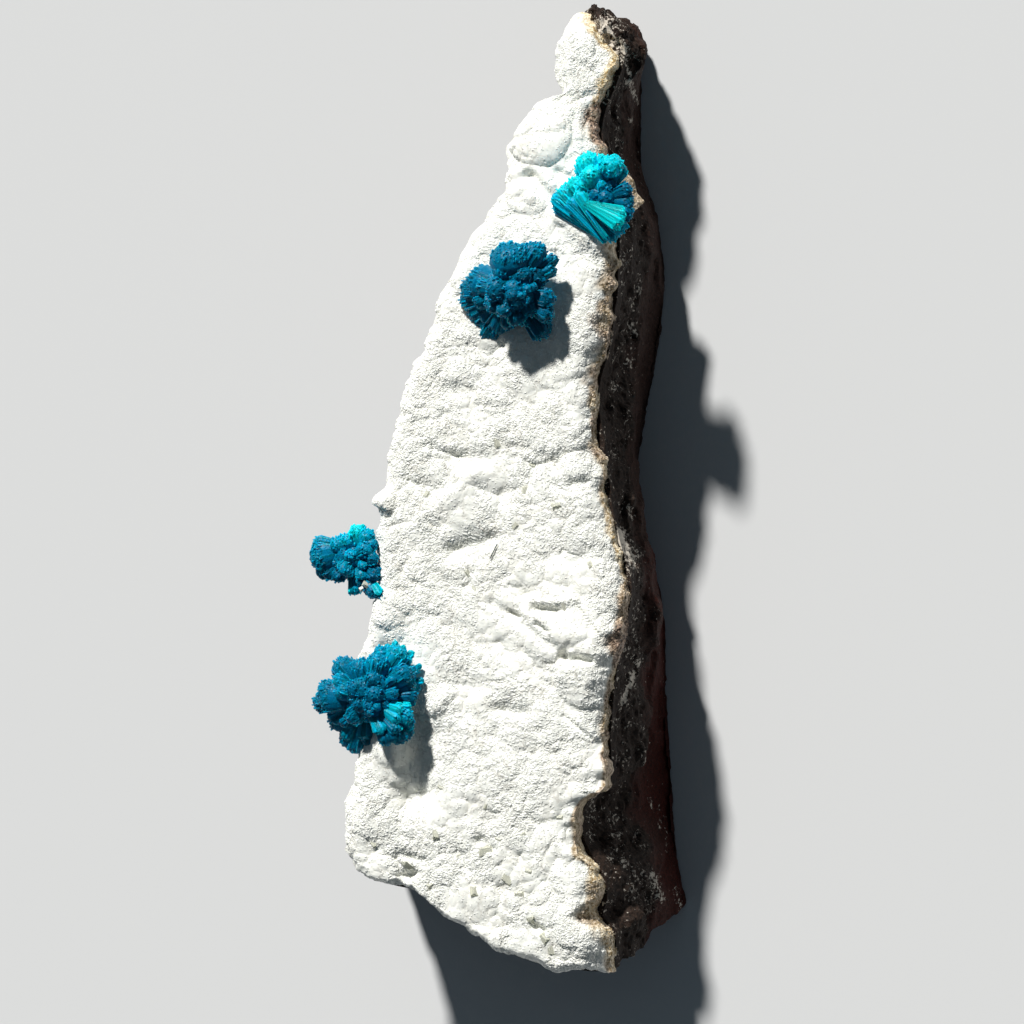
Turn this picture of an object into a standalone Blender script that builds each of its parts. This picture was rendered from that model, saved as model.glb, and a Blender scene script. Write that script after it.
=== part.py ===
"""A cavansite specimen lying on its back.

A tapering slab of basalt lies flat, with its crystal-covered face up. A white zeolite crust
covers that face, and four blue cavansite rosettes stand on the crust. X runs across the slab,
Y along it towards the narrow tip, and Z up from the surface that it lies on. Lengths are
written in millimetres and turned to metres by MM.
"""
import math

import bmesh
import bpy
import numpy as np
from mathutils import Matrix, Vector

MM = 0.001

# The clear gap between pieces that touch, and the growth of a cutter that leaves it.
GAP = 0.3
CUTTER_GROWTH = 0.45

# The middle of the whole specimen in the drawing's coordinates, which becomes the origin.
MIDDLE_X = 0.28
MIDDLE_Y = -0.17

# The crust's outline seen from above: left and right borders from the wide end to the tip,
# then the wide end and the tip from left to right.
LEFT_EDGE = [(-12.0, -40.6), (-13.6, -37.0), (-13.3, -31.8), (-12.3, -27.5), (-11.8, -18.0),
             (-10.4, -11.5), (-10.0, -5.8), (-9.6, -2.5), (-10.7, -1.2), (-9.5, 0.4),
             (-9.0, 2.4), (-8.5, 6.0), (-6.3, 12.5), (-4.4, 17.0), (-2.6, 21.4), (0.9, 27.3),
             (3.4, 31.5), (3.7, 36.2), (6.1, 39.6), (8.1, 40.0), (8.7, 41.2), (8.2, 43.0),
             (8.3, 45.6), (9.4, 47.6)]
RIGHT_EDGE = [(14.7, -49.5), (14.0, -46.0), (13.6, -41.5), (12.5, -36.6), (12.3, -32.6),
              (14.1, -29.5), (14.8, -24.0), (15.6, -18.4), (17.0, -10.8), (15.5, -5.2),
              (14.2, 2.0), (13.4, 9.5), (15.1, 16.5), (15.5, 22.5), (15.5, 28.0), (14.0, 34.3),
              (13.4, 38.2), (14.6, 42.0), (14.3, 45.5), (12.6, 48.3)]
WIDE_END = [(-12.0, -40.6), (-9.3, -41.2), (-6.3, -41.8), (-3.9, -43.4), (-0.6, -45.4),
            (3.7, -47.7), (7.5, -48.9), (11.5, -49.6), (14.7, -49.5)]
TIP_END = [(9.4, 47.6), (10.0, 48.7), (11.2, 49.1), (12.6, 48.3)]

# The slab's outline where it meets the surface below.
FOOT_LEFT = [(-12.6, -36.4), (-14.6, -32.5), (-13.8, -22.0), (-12.2, -10.0), (-11.0, 0.0),
             (-8.6, 9.0), (-5.4, 17.0), (-1.6, 26.0), (1.6, 33.0), (4.4, 39.0), (7.2, 43.0),
             (8.0, 46.5)]
FOOT_RIGHT = [(17.9, -43.2), (17.0, -39.0), (16.4, -31.0), (15.8, -22.0), (15.3, -12.0),
              (13.6, -6.0), (12.4, -1.0), (12.9, 5.0), (14.3, 11.5), (15.3, 18.0),
              (15.4, 23.5), (14.4, 29.0), (13.1, 34.0), (12.9, 42.0), (12.9, 47.6)]
FOOT_WIDE = [(-12.6, -36.4), (-4.0, -38.2), (5.0, -41.5), (12.0, -43.0), (17.9, -43.2)]
FOOT_TIP = [(8.0, 46.5), (9.8, 48.6), (11.6, 49.0), (12.9, 47.6)]

# The slab's height along Y, and the crust's mean thickness on it along Y.
SLAB_HEIGHT = [(-50.0, 15.0), (-30.0, 16.9), (24.0, 16.5), (50.0, 12.6)]
CRUST_THICKNESS = [(-50.0, 1.8), (-30.0, 2.2), (20.0, 2.1), (50.0, 1.6)]

# How the crust meets its borders: it overhangs the slab on the left, rounds over within a
# margin of its left side and of both ends, and is broken off raggedly on the right.
LEFT_OVERHANG = 0.9
ROUNDING = 1.3
ROUNDED_MARGIN = 2.2
NOSE_HOLLOW = 0.6
RAGGED_DEPTH = 0.5
RAGGED_STEP = 2.0

# The right flank's ridge, where the broken upper band meets the lower face: for places along
# Y, how far it stands out and at what share of the slab's height.
FLANK_RIDGE = [(-50.0, -0.8, 0.5), (-46.5, -0.3, 0.5), (-42.5, 0.9, 0.5), (-28.0, 0.9, 0.55),
               (-8.0, 0.6, 0.6), (6.0, 0.3, 0.55), (24.0, 0.9, 0.5), (34.0, 0.3, 0.55),
               (42.0, -0.2, 0.7), (45.5, 1.7, 0.8), (48.0, 2.5, 0.8), (50.0, 1.2, 0.8)]

# A ledge low on the left flank, as for places along Y how far it stands out below LEDGE_TOP,
# a share of the slab's height.
LEFT_LEDGE = [(-36.0, 0.0), (-30.0, 1.3), (-12.0, 1.6), (-8.0, 0.2), (12.0, 0.0), (16.0, 1.2),
              (32.0, 0.9), (38.0, 0.0)]
LEDGE_TOP = 0.42

# Botryoidal lumps of the crust: a field of small ones, which show at LUMP_SHARE of their height
# on the large ones. Each large one has its centre, its radius and its height.
LUMP_CELL = 3.4
LUMP_HEIGHT = 1.0
LUMP_SHARE = 0.4
LARGE_LUMPS = [(7.2, 36.6, 3.6, 1.4), (10.6, 45.6, 2.8, 1.0), (6.4, 31.0, 3.0, 0.8),
               (-9.3, -1.4, 1.7, 1.0), (15.0, 30.4, 2.3, 1.5), (12.9, -19.0, 3.6, 1.1),
               (9.4, -14.0, 4.2, 0.9), (-7.6, -27.2, 2.3, 2.0), (-10.2, -33.5, 3.6, 1.1),
               (-8.4, -12.6, 2.2, 0.8), (2.5, -30.0, 4.5, 0.8), (12.4, -45.0, 3.2, 0.9)]

# Fracture facets of the basalt's broken sides, coarse and fine: their width, their depth and
# the seed of their pattern. FACET_TILT is how steep they may be.
FACETS = [(9.5, 1.5, 30), (4.2, 0.7, 80)]
FACET_TILT = 1.4
TOP_FADE = 0.92

# The worn rim round the flat back: its least and greatest lift, and its step along Y.
WORN_LIFT = (0.5, 1.6)
WORN_STEP = 4.0

# Seeds of the other repeatable patterns.
LUMP_SEED = 5
WORN_SEED = 17
RAGGED_SEED = 29

# Faces that turn by less than this many degrees are merged into one flat face.
FLAT_ANGLE = 0.5

# How much of its cell the centre of a lump or facet may lie in.
CENTRE_SPREAD = 0.7

# Cells across, along and up of the two slabs.
BASALT_CELLS = (8, 42, 6)
CRUST_CELLS = (16, 56, 2)

# The rosettes are laid out as they are seen: u to the right, v up the slab, and w towards an
# eye that leans this far from upright to the right.
SEEN_FROM = math.radians(18.0)

# Each rosette: its centre, the radius of its core, and its sheaves. A sheaf is the centre and
# radius of the dome that its crystal ends lie on, and where it is given, its own root.
TOP_RIGHT = {
    "centre": (14.7, 29.5, 20.6), "core": 1.5, "seed": 11,
    "sheaves": [((-0.9, 2.8, 0.4), 2.0, None), ((0.9, 2.7, 0.9), 1.9, None),
                ((-2.9, -0.2, 0.6), 2.1, (1.0, -3.4, 0.4)),
                ((-3.6, 1.0, -0.4), 1.6, (1.0, -2.6, 0.0)),
                ((-1.6, -0.9, 1.2), 1.7, (1.6, -3.4, 0.9)),
                ((2.2, -1.3, 0.2), 1.6, None), ((1.6, -2.4, 0.2), 1.7, None),
                ((0.9, 0.8, -1.2), 2.0, None)]}
UPPER = {
    "centre": (5.7, 20.1, 22.4), "core": 2.6, "seed": 23,
    "sheaves": [((0.2, 2.8, 0.8), 2.7, None), ((-2.9, 0.6, 0.6), 2.5, None),
                ((2.9, 3.2, -0.2), 2.1, None), ((3.5, 1.0, -0.6), 1.6, None),
                ((3.0, -1.7, -0.4), 2.1, None), ((3.0, -3.2, -1.2), 1.7, None),
                ((-2.6, -2.3, -0.4), 2.2, None), ((-2.1, -3.3, -1.0), 1.7, None),
                ((-0.4, -2.5, 0.2), 1.9, None), ((0.9, -0.6, 2.3), 2.0, None),
                ((-1.4, -0.3, 1.9), 2.0, None), ((-3.9, -0.6, -1.2), 1.5, None)]}
LEFT_UPPER = {
    "centre": (-13.3, -7.4, 17.6), "core": 1.9, "seed": 37,
    "sheaves": [((-2.1, 0.4, 0.2), 2.4, None), ((0.6, 1.7, 0.2), 2.1, None),
                ((1.5, 0.8, 0.6), 1.7, None), ((-0.5, -1.2, 1.3), 1.9, None),
                ((-2.3, -0.9, -0.6), 1.5, None), ((1.7, -1.6, 0.2), 1.6, None),
                ((0.5, -2.6, -0.4), 1.3, None), ((3.2, -3.2, 0.9), 1.3, (0.8, -1.2, 0.4)),
                ((2.9, -1.6, -0.9), 1.5, None), ((-0.4, 0.4, -2.2), 1.8, None)]}
LEFT_LOWER = {
    "centre": (-10.4, -21.8, 20.6), "core": 2.7, "seed": 41,
    "sheaves": [((-3.4, 0.3, 0.0), 2.5, None), ((-2.5, 2.5, 0.0), 2.2, None),
                ((0.3, 2.6, 0.6), 2.1, None), ((2.7, 3.7, 0.0), 2.2, None),
                ((4.0, 2.6, -0.3), 1.7, None), ((3.7, 1.0, 0.2), 1.8, None),
                ((3.2, -2.1, 0.4), 1.8, None), ((1.3, -2.7, 0.6), 2.0, None),
                ((-1.3, -3.6, 0.0), 2.2, None), ((-2.8, -1.6, -0.4), 1.9, None),
                ((0.4, 0.0, 2.2), 2.2, None), ((1.4, -3.4, -1.6), 1.7, None)]}

# A sheaf's end: its sides, and the rings of crystal ends on its dome. Each ring has the angles
# from the axis of its ridges and of the notches between them, and their shares of the radius.
# Its root is this share of its rim's width, and the other three are how much it may vary.
SHEAF_SIDES = 10
RIM = ((84.0, 1.02), (70.0, 0.8))
CROWN = ((44.0, 0.9), (38.0, 1.04))
ROOT_SHARE = 0.35
POLAR_VARIATION = 7.0
TURN_VARIATION = 0.2
REACH_RANGE = (0.93, 1.06)
FLATNESS_RANGE = (0.72, 0.95)


def clear_scene():
    """Start from an empty scene."""
    for obj in list(bpy.data.objects):
        bpy.data.objects.remove(obj, do_unlink=True)


def scatter(ix, iy, seed):
    """Repeatable numbers between 0 and 1, one for each whole-number cell (ix, iy)."""
    n = (ix.astype(np.int64) * 374761393 + iy.astype(np.int64) * 668265263 + seed * 362437)
    n = n & 0xFFFFFFFF
    n = ((n ^ (n >> 13)) * 1274126177) & 0xFFFFFFFF
    return (n ^ (n >> 16)) / 0xFFFFFFFF


def neighbours(x, y, cell, seed):
    """For each of the nine cells round a point: its numbers and the offset to its own centre."""
    column, row = np.floor(x / cell), np.floor(y / cell)
    for across in (-1, 0, 1):
        for along in (-1, 0, 1):
            ix, iy = column + across, row + along
            centre_x = (ix + 0.5 + CENTRE_SPREAD * (scatter(ix, iy, seed) - 0.5)) * cell
            centre_y = (iy + 0.5 + CENTRE_SPREAD * (scatter(ix, iy, seed + 1) - 0.5)) * cell
            yield ix, iy, x - centre_x, y - centre_y


def knobs(x, y, cell, seed):
    """Half-ball bumps of unlike size, one to a cell; the highest one at a point counts."""
    height = np.zeros_like(x)
    for ix, iy, dx, dy in neighbours(x, y, cell, seed):
        radius = cell * (0.55 + 0.4 * scatter(ix, iy, seed + 2))
        dome = np.sqrt(np.clip(1.0 - (dx * dx + dy * dy) / radius ** 2, 0.0, 1.0))
        height = np.maximum(height, dome * radius / cell)
    return height


def facets(a, b, cell, seed):
    """Flat facets of unlike tilt and depth, one to a cell; the nearest one counts."""
    nearest = np.full_like(a, np.inf)
    depth = np.zeros_like(a)
    for ix, iy, da, db in neighbours(a, b, cell, seed):
        distance = da * da + db * db
        level = scatter(ix, iy, seed + 2) - 0.5
        tilt_a = scatter(ix, iy, seed + 3) - 0.5
        tilt_b = scatter(ix, iy, seed + 4) - 0.5
        plane = level + FACET_TILT * (tilt_a * da + tilt_b * db) / cell
        depth = np.where(distance < nearest, plane, depth)
        nearest = np.minimum(nearest, distance)
    return depth


def along_outline(points, share):
    """Points at the given shares of an outline's length, rounded by a Catmull-Rom spline."""
    points = np.array(points, float)
    reach = np.concatenate([[0.0], np.cumsum(np.hypot(*np.diff(points, axis=0).T))])
    reach /= reach[-1]
    padded = np.vstack([2 * points[0] - points[1], points, 2 * points[-1] - points[-2]])
    index = np.clip(np.searchsorted(reach, share, side="right") - 1, 0, len(points) - 2)
    u = ((share - reach[index]) / (reach[index + 1] - reach[index]))[:, None]
    p0, p1, p2, p3 = (padded[index + k] for k in range(4))
    return 0.5 * (2 * p1 + (p2 - p0) * u + (2 * p0 - 5 * p1 + 4 * p2 - p3) * u ** 2
                  + (3 * p1 - p0 - 3 * p2 + p3) * u ** 3)


def between_outlines(left, right, near, far, s, t):
    """Coons patch: points inside four outlines, s from left to right and t from near to far."""
    side_l, side_r = along_outline(left, t), along_outline(right, t)
    end_n, end_f = along_outline(near, s), along_outline(far, s)
    s, t = s[:, None], t[:, None]
    corners = ((1 - s) * (1 - t) * np.array(near[0]) + s * (1 - t) * np.array(near[-1])
               + (1 - s) * t * np.array(far[0]) + s * t * np.array(far[-1]))
    return (1 - s) * side_l + s * side_r + (1 - t) * end_n + t * end_f - corners


def slab_height(y):
    """Height of the slab's covered face, in straight slopes along Y."""
    return np.interp(y, *np.array(SLAB_HEIGHT).T)


def crust_relief(x, y):
    """Height of the crust's lumps above its mean thickness."""
    small = LUMP_HEIGHT * knobs(x, y, LUMP_CELL, LUMP_SEED)
    relief = small
    for lump_x, lump_y, radius, height in LARGE_LUMPS:
        reach = ((x - lump_x) ** 2 + (y - lump_y) ** 2) / radius ** 2
        dome = height * np.sqrt(np.clip(1.0 - reach, 0.0, 1.0))
        relief = np.maximum(relief, dome + LUMP_SHARE * small * (reach < 1.0))
    return relief


def cut_box(cells):
    """A unit cube primitive with its low corner at 0, cut into cells across, along and up."""
    bm = bmesh.new()
    bmesh.ops.create_cube(bm, size=1.0, matrix=Matrix.Translation((0.5, 0.5, 0.5)))
    for axis, count in enumerate(cells):
        normal = Vector((0.0, 0.0, 0.0))
        normal[axis] = 1.0
        for k in range(1, count):
            geometry = bm.verts[:] + bm.edges[:] + bm.faces[:]
            bmesh.ops.bisect_plane(bm, geom=geometry, plane_co=normal * (k / count),
                                   plane_no=normal, dist=1e-6)
    return bm


def reshape(bm, shape):
    """Move every vertex of a unit box to shape(s, t, h), in millimetres."""
    unit = np.array([v.co[:] for v in bm.verts])
    level = bm.verts.layers.float.new("level")
    for vert, up, place in zip(bm.verts, unit[:, 2], shape(*unit.T)):
        vert[level] = round(up, 6)
        vert.co = Vector(place - (MIDDLE_X, MIDDLE_Y, 0.0)) * MM


def which_side(share):
    """-1 on the border where a share is 0, 1 on the border where it is 1, and 0 between."""
    return np.isclose(share, 1.0).astype(int) - np.isclose(share, 0.0).astype(int)


def flank_ridge(y, h):
    """How far the right flank stands out at its ridge and, less and less, above and below it."""
    ridge_y, ridge_out, ridge_h = np.array(FLANK_RIDGE).T
    crest = np.interp(y, ridge_y, ridge_h)
    slope = np.where(h > crest, (1.0 - h) / (1.0 - crest), h / crest)
    return slope * np.interp(y, ridge_y, ridge_out)


def basalt_shape(s, t, h):
    """The slab: from its foot outline up to the crust's outline, with broken, faceted sides."""
    top = between_outlines(LEFT_EDGE, RIGHT_EDGE, WIDE_END, TIP_END, s, t)
    top[:, 0] += LEFT_OVERHANG * (1.0 - s)
    foot = between_outlines(FOOT_LEFT, FOOT_RIGHT, FOOT_WIDE, FOOT_TIP, s, t)
    x, y = (foot + (top - foot) * h[:, None]).T
    z = slab_height(top[:, 1]) * h
    side, end = which_side(s), which_side(t)
    x = x + (side > 0) * flank_ridge(y, h)
    x = x - (side < 0) * (h < LEDGE_TOP) * np.interp(y, *np.array(LEFT_LEDGE).T)
    free = np.sin(math.pi * np.clip(h, 0.0, TOP_FADE))
    for width, depth, seed in FACETS:
        x = x + side * free * depth * facets(y, z, width, seed + side)
        y = y + end * free * depth * facets(x, z, width, seed + 10 + end)
    least, greatest = WORN_LIFT
    worn = least + (greatest - least) * scatter(np.floor(y / WORN_STEP), side, WORN_SEED)
    z = np.where(np.isclose(h, 0.0) & ((side != 0) | (end != 0)), worn, z)
    return np.column_stack([x, y, z])


def crust_shape(s, t, h):
    """The crust: lumpy above, flat below at the gap over the slab, round on its free sides."""
    x, y = between_outlines(LEFT_EDGE, RIGHT_EDGE, WIDE_END, TIP_END, s, t).T
    inward = np.minimum(x - along_outline(LEFT_EDGE, t)[:, 0],
                        np.minimum(y - along_outline(WIDE_END, s)[:, 1],
                                   along_outline(TIP_END, s)[:, 1] - y))
    rolled = np.clip(1.0 - inward / ROUNDED_MARGIN, 0.0, 1.0) ** 2
    thickness = np.interp(y, *np.array(CRUST_THICKNESS).T)
    top = thickness + crust_relief(x, y) - ROUNDING * rolled
    z = slab_height(y) + GAP + top * h
    side = which_side(s)
    x = x + (side < 0) * LEFT_OVERHANG * (1.0 - h) * (1.0 - NOSE_HOLLOW * h)
    ragged = RAGGED_DEPTH * scatter(np.floor(y / RAGGED_STEP), side, RAGGED_SEED)
    x = x - (side > 0) * h * ragged
    return np.column_stack([x, y, z])


def new_object(name, bm, material, collection):
    """Put a bmesh into a named object of a collection, its faces flat as crystals' are."""
    bmesh.ops.recalc_face_normals(bm, faces=bm.faces[:])
    mesh = bpy.data.meshes.new(name)
    bm.to_mesh(mesh)
    bm.free()
    if material:
        mesh.materials.append(material)
    obj = bpy.data.objects.new(name, mesh)
    collection.objects.link(obj)
    return obj


def as_guide(obj):
    """Keep an object as a guide only, out of the model."""
    obj.hide_render = True
    obj.display_type = "WIRE"


def merge_flat_faces(bm, level):
    """Merge the flat faces of a reshaped unit box that lie at one level of it, 0 or 1."""
    layer = bm.verts.layers.float["level"]
    verts = [v for v in bm.verts if v[layer] == level]
    edges = [e for e in bm.edges if all(v[layer] == level for v in e.verts)]
    bmesh.ops.dissolve_limit(bm, angle_limit=math.radians(FLAT_ANGLE), verts=verts,
                             edges=edges)


def make_basalt(collection):
    """The basalt slab, flat on its back."""
    bm = cut_box(BASALT_CELLS)
    reshape(bm, basalt_shape)
    merge_flat_faces(bm, 0.0)
    merge_flat_faces(bm, 1.0)
    bmesh.ops.triangulate(bm, faces=bm.faces[:])
    return new_object("basalt_matrix", bm, paint("basalt", "2A2624", 0.8), collection)


def make_crust(collection):
    """The zeolite crust on the slab's upper face."""
    bm = cut_box(CRUST_CELLS)
    reshape(bm, crust_shape)
    merge_flat_faces(bm, 0.0)
    bmesh.ops.triangulate(bm, faces=bm.faces[:])
    return new_object("zeolite_crust", bm, paint("zeolite", "F4F3EC", 0.7), collection)


def grown_copy(obj, distance, collection):
    """A cutter: a piece grown along its vertex normals, to leave a gap round it."""
    mesh = obj.data.copy()
    normals = [v.normal.copy() for v in mesh.vertices]
    for vert, normal in zip(mesh.vertices, normals):
        vert.co += normal * distance * MM
    cutter = bpy.data.objects.new(obj.name + "_cutter", mesh)
    collection.objects.link(cutter)
    as_guide(cutter)
    return cutter


def seen_to_slab(offset):
    """Turn an offset as seen (u right, v up, w towards the eye) into slab X, Y and Z."""
    u, v, w = offset
    sine, cosine = math.sin(SEEN_FROM), math.cos(SEEN_FROM)
    return Vector((u * cosine + w * sine, v, w * cosine - u * sine))


def ring_on_dome(ring, turn, rng):
    """One crystal end of a ring, as an offset from the dome's centre in shares of its radius."""
    polar, share = ring[turn % 2]
    polar = math.radians(polar + rng.uniform(-POLAR_VARIATION, POLAR_VARIATION))
    turned = turn + rng.uniform(-TURN_VARIATION, TURN_VARIATION)
    around = 2 * math.pi * turned / SHEAF_SIDES
    share *= rng.uniform(*REACH_RANGE)
    return share * Vector((math.sin(polar) * math.cos(around),
                           math.sin(polar) * math.sin(around), math.cos(polar)))


def in_turn(verts):
    """The vertices of a ring, in order round the Z axis."""
    return sorted(verts, key=lambda v: math.atan2(v.co.y, v.co.x))


def add_sheaf(bm, middle, sheaf, rng):
    """A fluted sheaf: a cone from its root to a rim of ridges, with a crown on its dome."""
    dome, radius, root = sheaf
    dome_at = middle + seen_to_slab(dome)
    root_at = middle + seen_to_slab(root or (0.0, 0.0, 0.0))
    frame = (dome_at - root_at).normalized().to_track_quat("Z", "Y").to_matrix()
    frame = frame @ Matrix.Rotation(rng.uniform(0.0, math.pi), 3, "Z")
    frame = frame @ Matrix.Diagonal((1.0, rng.uniform(*FLATNESS_RANGE), 1.0))
    made = bmesh.ops.create_cone(bm, cap_ends=True, segments=SHEAF_SIDES, radius1=1.0,
                                 radius2=2.0, depth=2.0)
    top = next(v for v in made["verts"] if v.co.z > 0.0)
    cap = next(f for f in top.link_faces if len(f.verts) == SHEAF_SIDES)
    collar = bmesh.ops.inset_region(bm, faces=[cap], thickness=0.6)["faces"]
    low = in_turn([v for v in made["verts"] if v.co.z < 0.0])
    crown = in_turn(cap.verts)
    rim = in_turn({v for f in collar for v in f.verts} - set(cap.verts))
    pole = bmesh.ops.poke(bm, faces=[cap])["verts"][0]
    for turn in range(SHEAF_SIDES):
        outer = ring_on_dome(RIM, turn, rng)
        inner = ring_on_dome(CROWN, turn, rng)
        rim[turn].co = (dome_at + frame @ outer * radius) * MM
        crown[turn].co = (dome_at + frame @ inner * radius) * MM
        spread = Vector((outer.x, outer.y, 0.0)) * radius * ROOT_SHARE
        low[turn].co = (root_at + frame @ spread) * MM
    peak = Vector((0.0, 0.0, radius * rng.uniform(*REACH_RANGE)))
    pole.co = (dome_at + frame @ peak) * MM


def apply_boolean(obj, operation, other):
    """Join or cut an object by another and keep the result as its mesh."""
    modifier = obj.modifiers.new(operation.title(), "BOOLEAN")
    modifier.operation = operation
    modifier.solver = "EXACT"
    modifier.object = other
    depsgraph = bpy.context.evaluated_depsgraph_get()
    result = bpy.data.meshes.new_from_object(obj.evaluated_get(depsgraph))
    obj.modifiers.clear()
    obj.data = result


def keep_largest(obj):
    """Drop the loose scraps that a cut leaves beside the main body."""
    bm = bmesh.new()
    bm.from_mesh(obj.data)
    seen, bodies = set(), []
    for start in bm.verts:
        if start in seen:
            continue
        body, queue = {start}, [start]
        while queue:
            for edge in queue.pop().link_edges:
                for vert in edge.verts:
                    if vert not in body:
                        body.add(vert)
                        queue.append(vert)
        seen |= body
        bodies.append(body)
    largest = max(bodies, key=len)
    bmesh.ops.delete(bm, geom=[v for v in bm.verts if v not in largest], context="VERTS")
    bmesh.ops.dissolve_limit(bm, angle_limit=math.radians(1.0), verts=bm.verts[:],
                             edges=bm.edges[:])
    bmesh.ops.triangulate(bm, faces=bm.faces[:])
    bm.to_mesh(obj.data)
    bm.free()


def make_rosette(name, rosette, beds, collection, guides):
    """A rosette: sheaves of crystals joined over a core, and cut where they meet the bed."""
    rng = np.random.default_rng(rosette["seed"])
    middle = Vector(rosette["centre"]) - Vector((MIDDLE_X, MIDDLE_Y, 0.0))
    core = bmesh.new()
    bmesh.ops.create_icosphere(core, subdivisions=2, radius=rosette["core"] * MM,
                               matrix=Matrix.Translation(middle * MM))
    obj = new_object(name, core, paint("cavansite", "0585A8", 0.25), collection)
    for sheaf in rosette["sheaves"]:
        crystals = bmesh.new()
        add_sheaf(crystals, middle, sheaf, rng)
        bmesh.ops.triangulate(crystals, faces=crystals.faces[:])
        bundle = new_object(name + "_sheaf", crystals, None, guides)
        apply_boolean(obj, "UNION", bundle)
        bpy.data.objects.remove(bundle, do_unlink=True)
    for bed in beds:
        apply_boolean(obj, "DIFFERENCE", bed)
    keep_largest(obj)
    return obj


def paint(name, colour, roughness):
    """A Principled material of one sRGB colour, made once and then shared."""
    if name in bpy.data.materials:
        return bpy.data.materials[name]
    material = bpy.data.materials.new(name)
    material.use_nodes = True
    shader = material.node_tree.nodes["Principled BSDF"]
    channels = [int(colour[k:k + 2], 16) / 255 for k in (0, 2, 4)]
    linear = [((c + 0.055) / 1.055) ** 2.4 if c > 0.04045 else c / 12.92 for c in channels]
    shader.inputs["Base Color"].default_value = (*linear, 1.0)
    shader.inputs["Roughness"].default_value = roughness
    shader.inputs["Metallic"].default_value = 0.0
    return material


def main():
    """Build the whole specimen."""
    clear_scene()
    collection = bpy.data.collections.new("cavansite_specimen")
    guides = bpy.data.collections.new("cutters")
    bpy.context.scene.collection.children.link(collection)
    bpy.context.scene.collection.children.link(guides)
    guides.hide_render = True
    basalt = make_basalt(collection)
    crust = make_crust(collection)
    beds = [grown_copy(piece, CUTTER_GROWTH, guides) for piece in (basalt, crust)]
    make_rosette("cavansite_top_right", TOP_RIGHT, beds, collection, guides)
    make_rosette("cavansite_upper", UPPER, beds, collection, guides)
    make_rosette("cavansite_left_upper", LEFT_UPPER, beds, collection, guides)
    make_rosette("cavansite_left_lower", LEFT_LOWER, beds, collection, guides)


main()
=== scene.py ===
"""Looks of a cavansite specimen that lies on its back.

A tapering slab of basalt carries a white zeolite crust, and four blue cavansite rosettes stand on
the crust. Shapes are worked out with numpy in millimetres, X across the slab, Y along it towards
the narrow tip and Z up, and new_piece turns them into metres round the middle of the specimen.
"""

import math
from functools import partial

import bpy
import numpy as np
from mathutils import Matrix, Vector


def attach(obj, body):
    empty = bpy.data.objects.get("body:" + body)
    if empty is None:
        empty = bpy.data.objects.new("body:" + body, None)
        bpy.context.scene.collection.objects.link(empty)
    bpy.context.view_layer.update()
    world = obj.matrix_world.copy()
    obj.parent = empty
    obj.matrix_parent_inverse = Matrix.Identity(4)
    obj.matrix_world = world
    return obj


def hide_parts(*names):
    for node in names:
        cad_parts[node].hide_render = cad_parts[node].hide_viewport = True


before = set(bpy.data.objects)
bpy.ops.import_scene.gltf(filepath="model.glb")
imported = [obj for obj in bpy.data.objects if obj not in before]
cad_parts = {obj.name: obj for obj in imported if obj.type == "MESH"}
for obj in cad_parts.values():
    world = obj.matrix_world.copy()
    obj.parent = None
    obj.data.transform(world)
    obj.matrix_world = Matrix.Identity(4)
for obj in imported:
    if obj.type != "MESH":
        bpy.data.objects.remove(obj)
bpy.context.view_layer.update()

MM = 0.001
MIDDLE = np.array([0.28, -0.17, 0])
GAP = 0.3

# The crust's outline seen from above: left and right borders from the wide end to the tip,
# then the wide end and the tip from left to right.
LEFT_EDGE = [
    (-12, -40.6), (-13.6, -37), (-13.3, -31.8), (-12.3, -27.5), (-11.8, -18), (-10.4, -11.5), (-10, -5.8),
    (-9.6, -2.5), (-10.7, -1.2), (-9.5, .4), (-9, 2.4), (-8.5, 6), (-6.3, 12.5), (-4.4, 17), (-2.6, 21.4),
    (.9, 27.3), (3.4, 31.5), (3.7, 36.2), (6.1, 39.6), (8.1, 40), (8.7, 41.2), (8.2, 43), (8.3, 45.6),
    (9.4, 47.6)]
RIGHT_EDGE = [
    (14.7, -49.5), (14.6, -45.6), (13.3, -44), (13.8, -42.2), (13.7, -39.8), (12.3, -37.2), (11.8, -35.8),
    (11.8, -33.4), (12.4, -32.1), (13.8, -31.2), (14.9, -30.4), (14.8, -24), (15.6, -18.4), (17, -10.8),
    (15.5, -5.2), (14.2, 2), (13.4, 9.5), (15.1, 16.5), (15.5, 22.5), (15.3, 28), (13.7, 34.3),
    (12.9, 38.2), (13.8, 41.6), (14.6, 44.2), (13.3, 46.8), (11.6, 48.9)]
WIDE_END = [
    (-12, -40.6), (-9.3, -41.2), (-6.3, -41.8), (-3.9, -43.4), (-.6, -45.4), (3.7, -47.7), (7.5, -48.9),
    (11.5, -49.6), (14.7, -49.5)]
TIP_END = [(9.4, 47.6), (9.8, 48.8), (10.6, 49.3), (11.6, 48.9)]

CRUST_OUTLINE = (LEFT_EDGE, RIGHT_EDGE, WIDE_END, TIP_END)

# At the tip the slab's covered face reaches beyond the crust, and stands higher.
STONE_RIGHT = RIGHT_EDGE[:-5] + [(13.2, 38.2), (14.2, 41.6), (15, 44.6), (14.4, 47.2), (12.8, 49.4)]
STONE_TIP = [(9.4, 47.6), (9.9, 49.2), (11.2, 49.9), (12.8, 49.4)]
STONE_OUTLINE = (LEFT_EDGE, STONE_RIGHT, WIDE_END, STONE_TIP)
STONE_RISE = (43, 48, 1.3)

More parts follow.
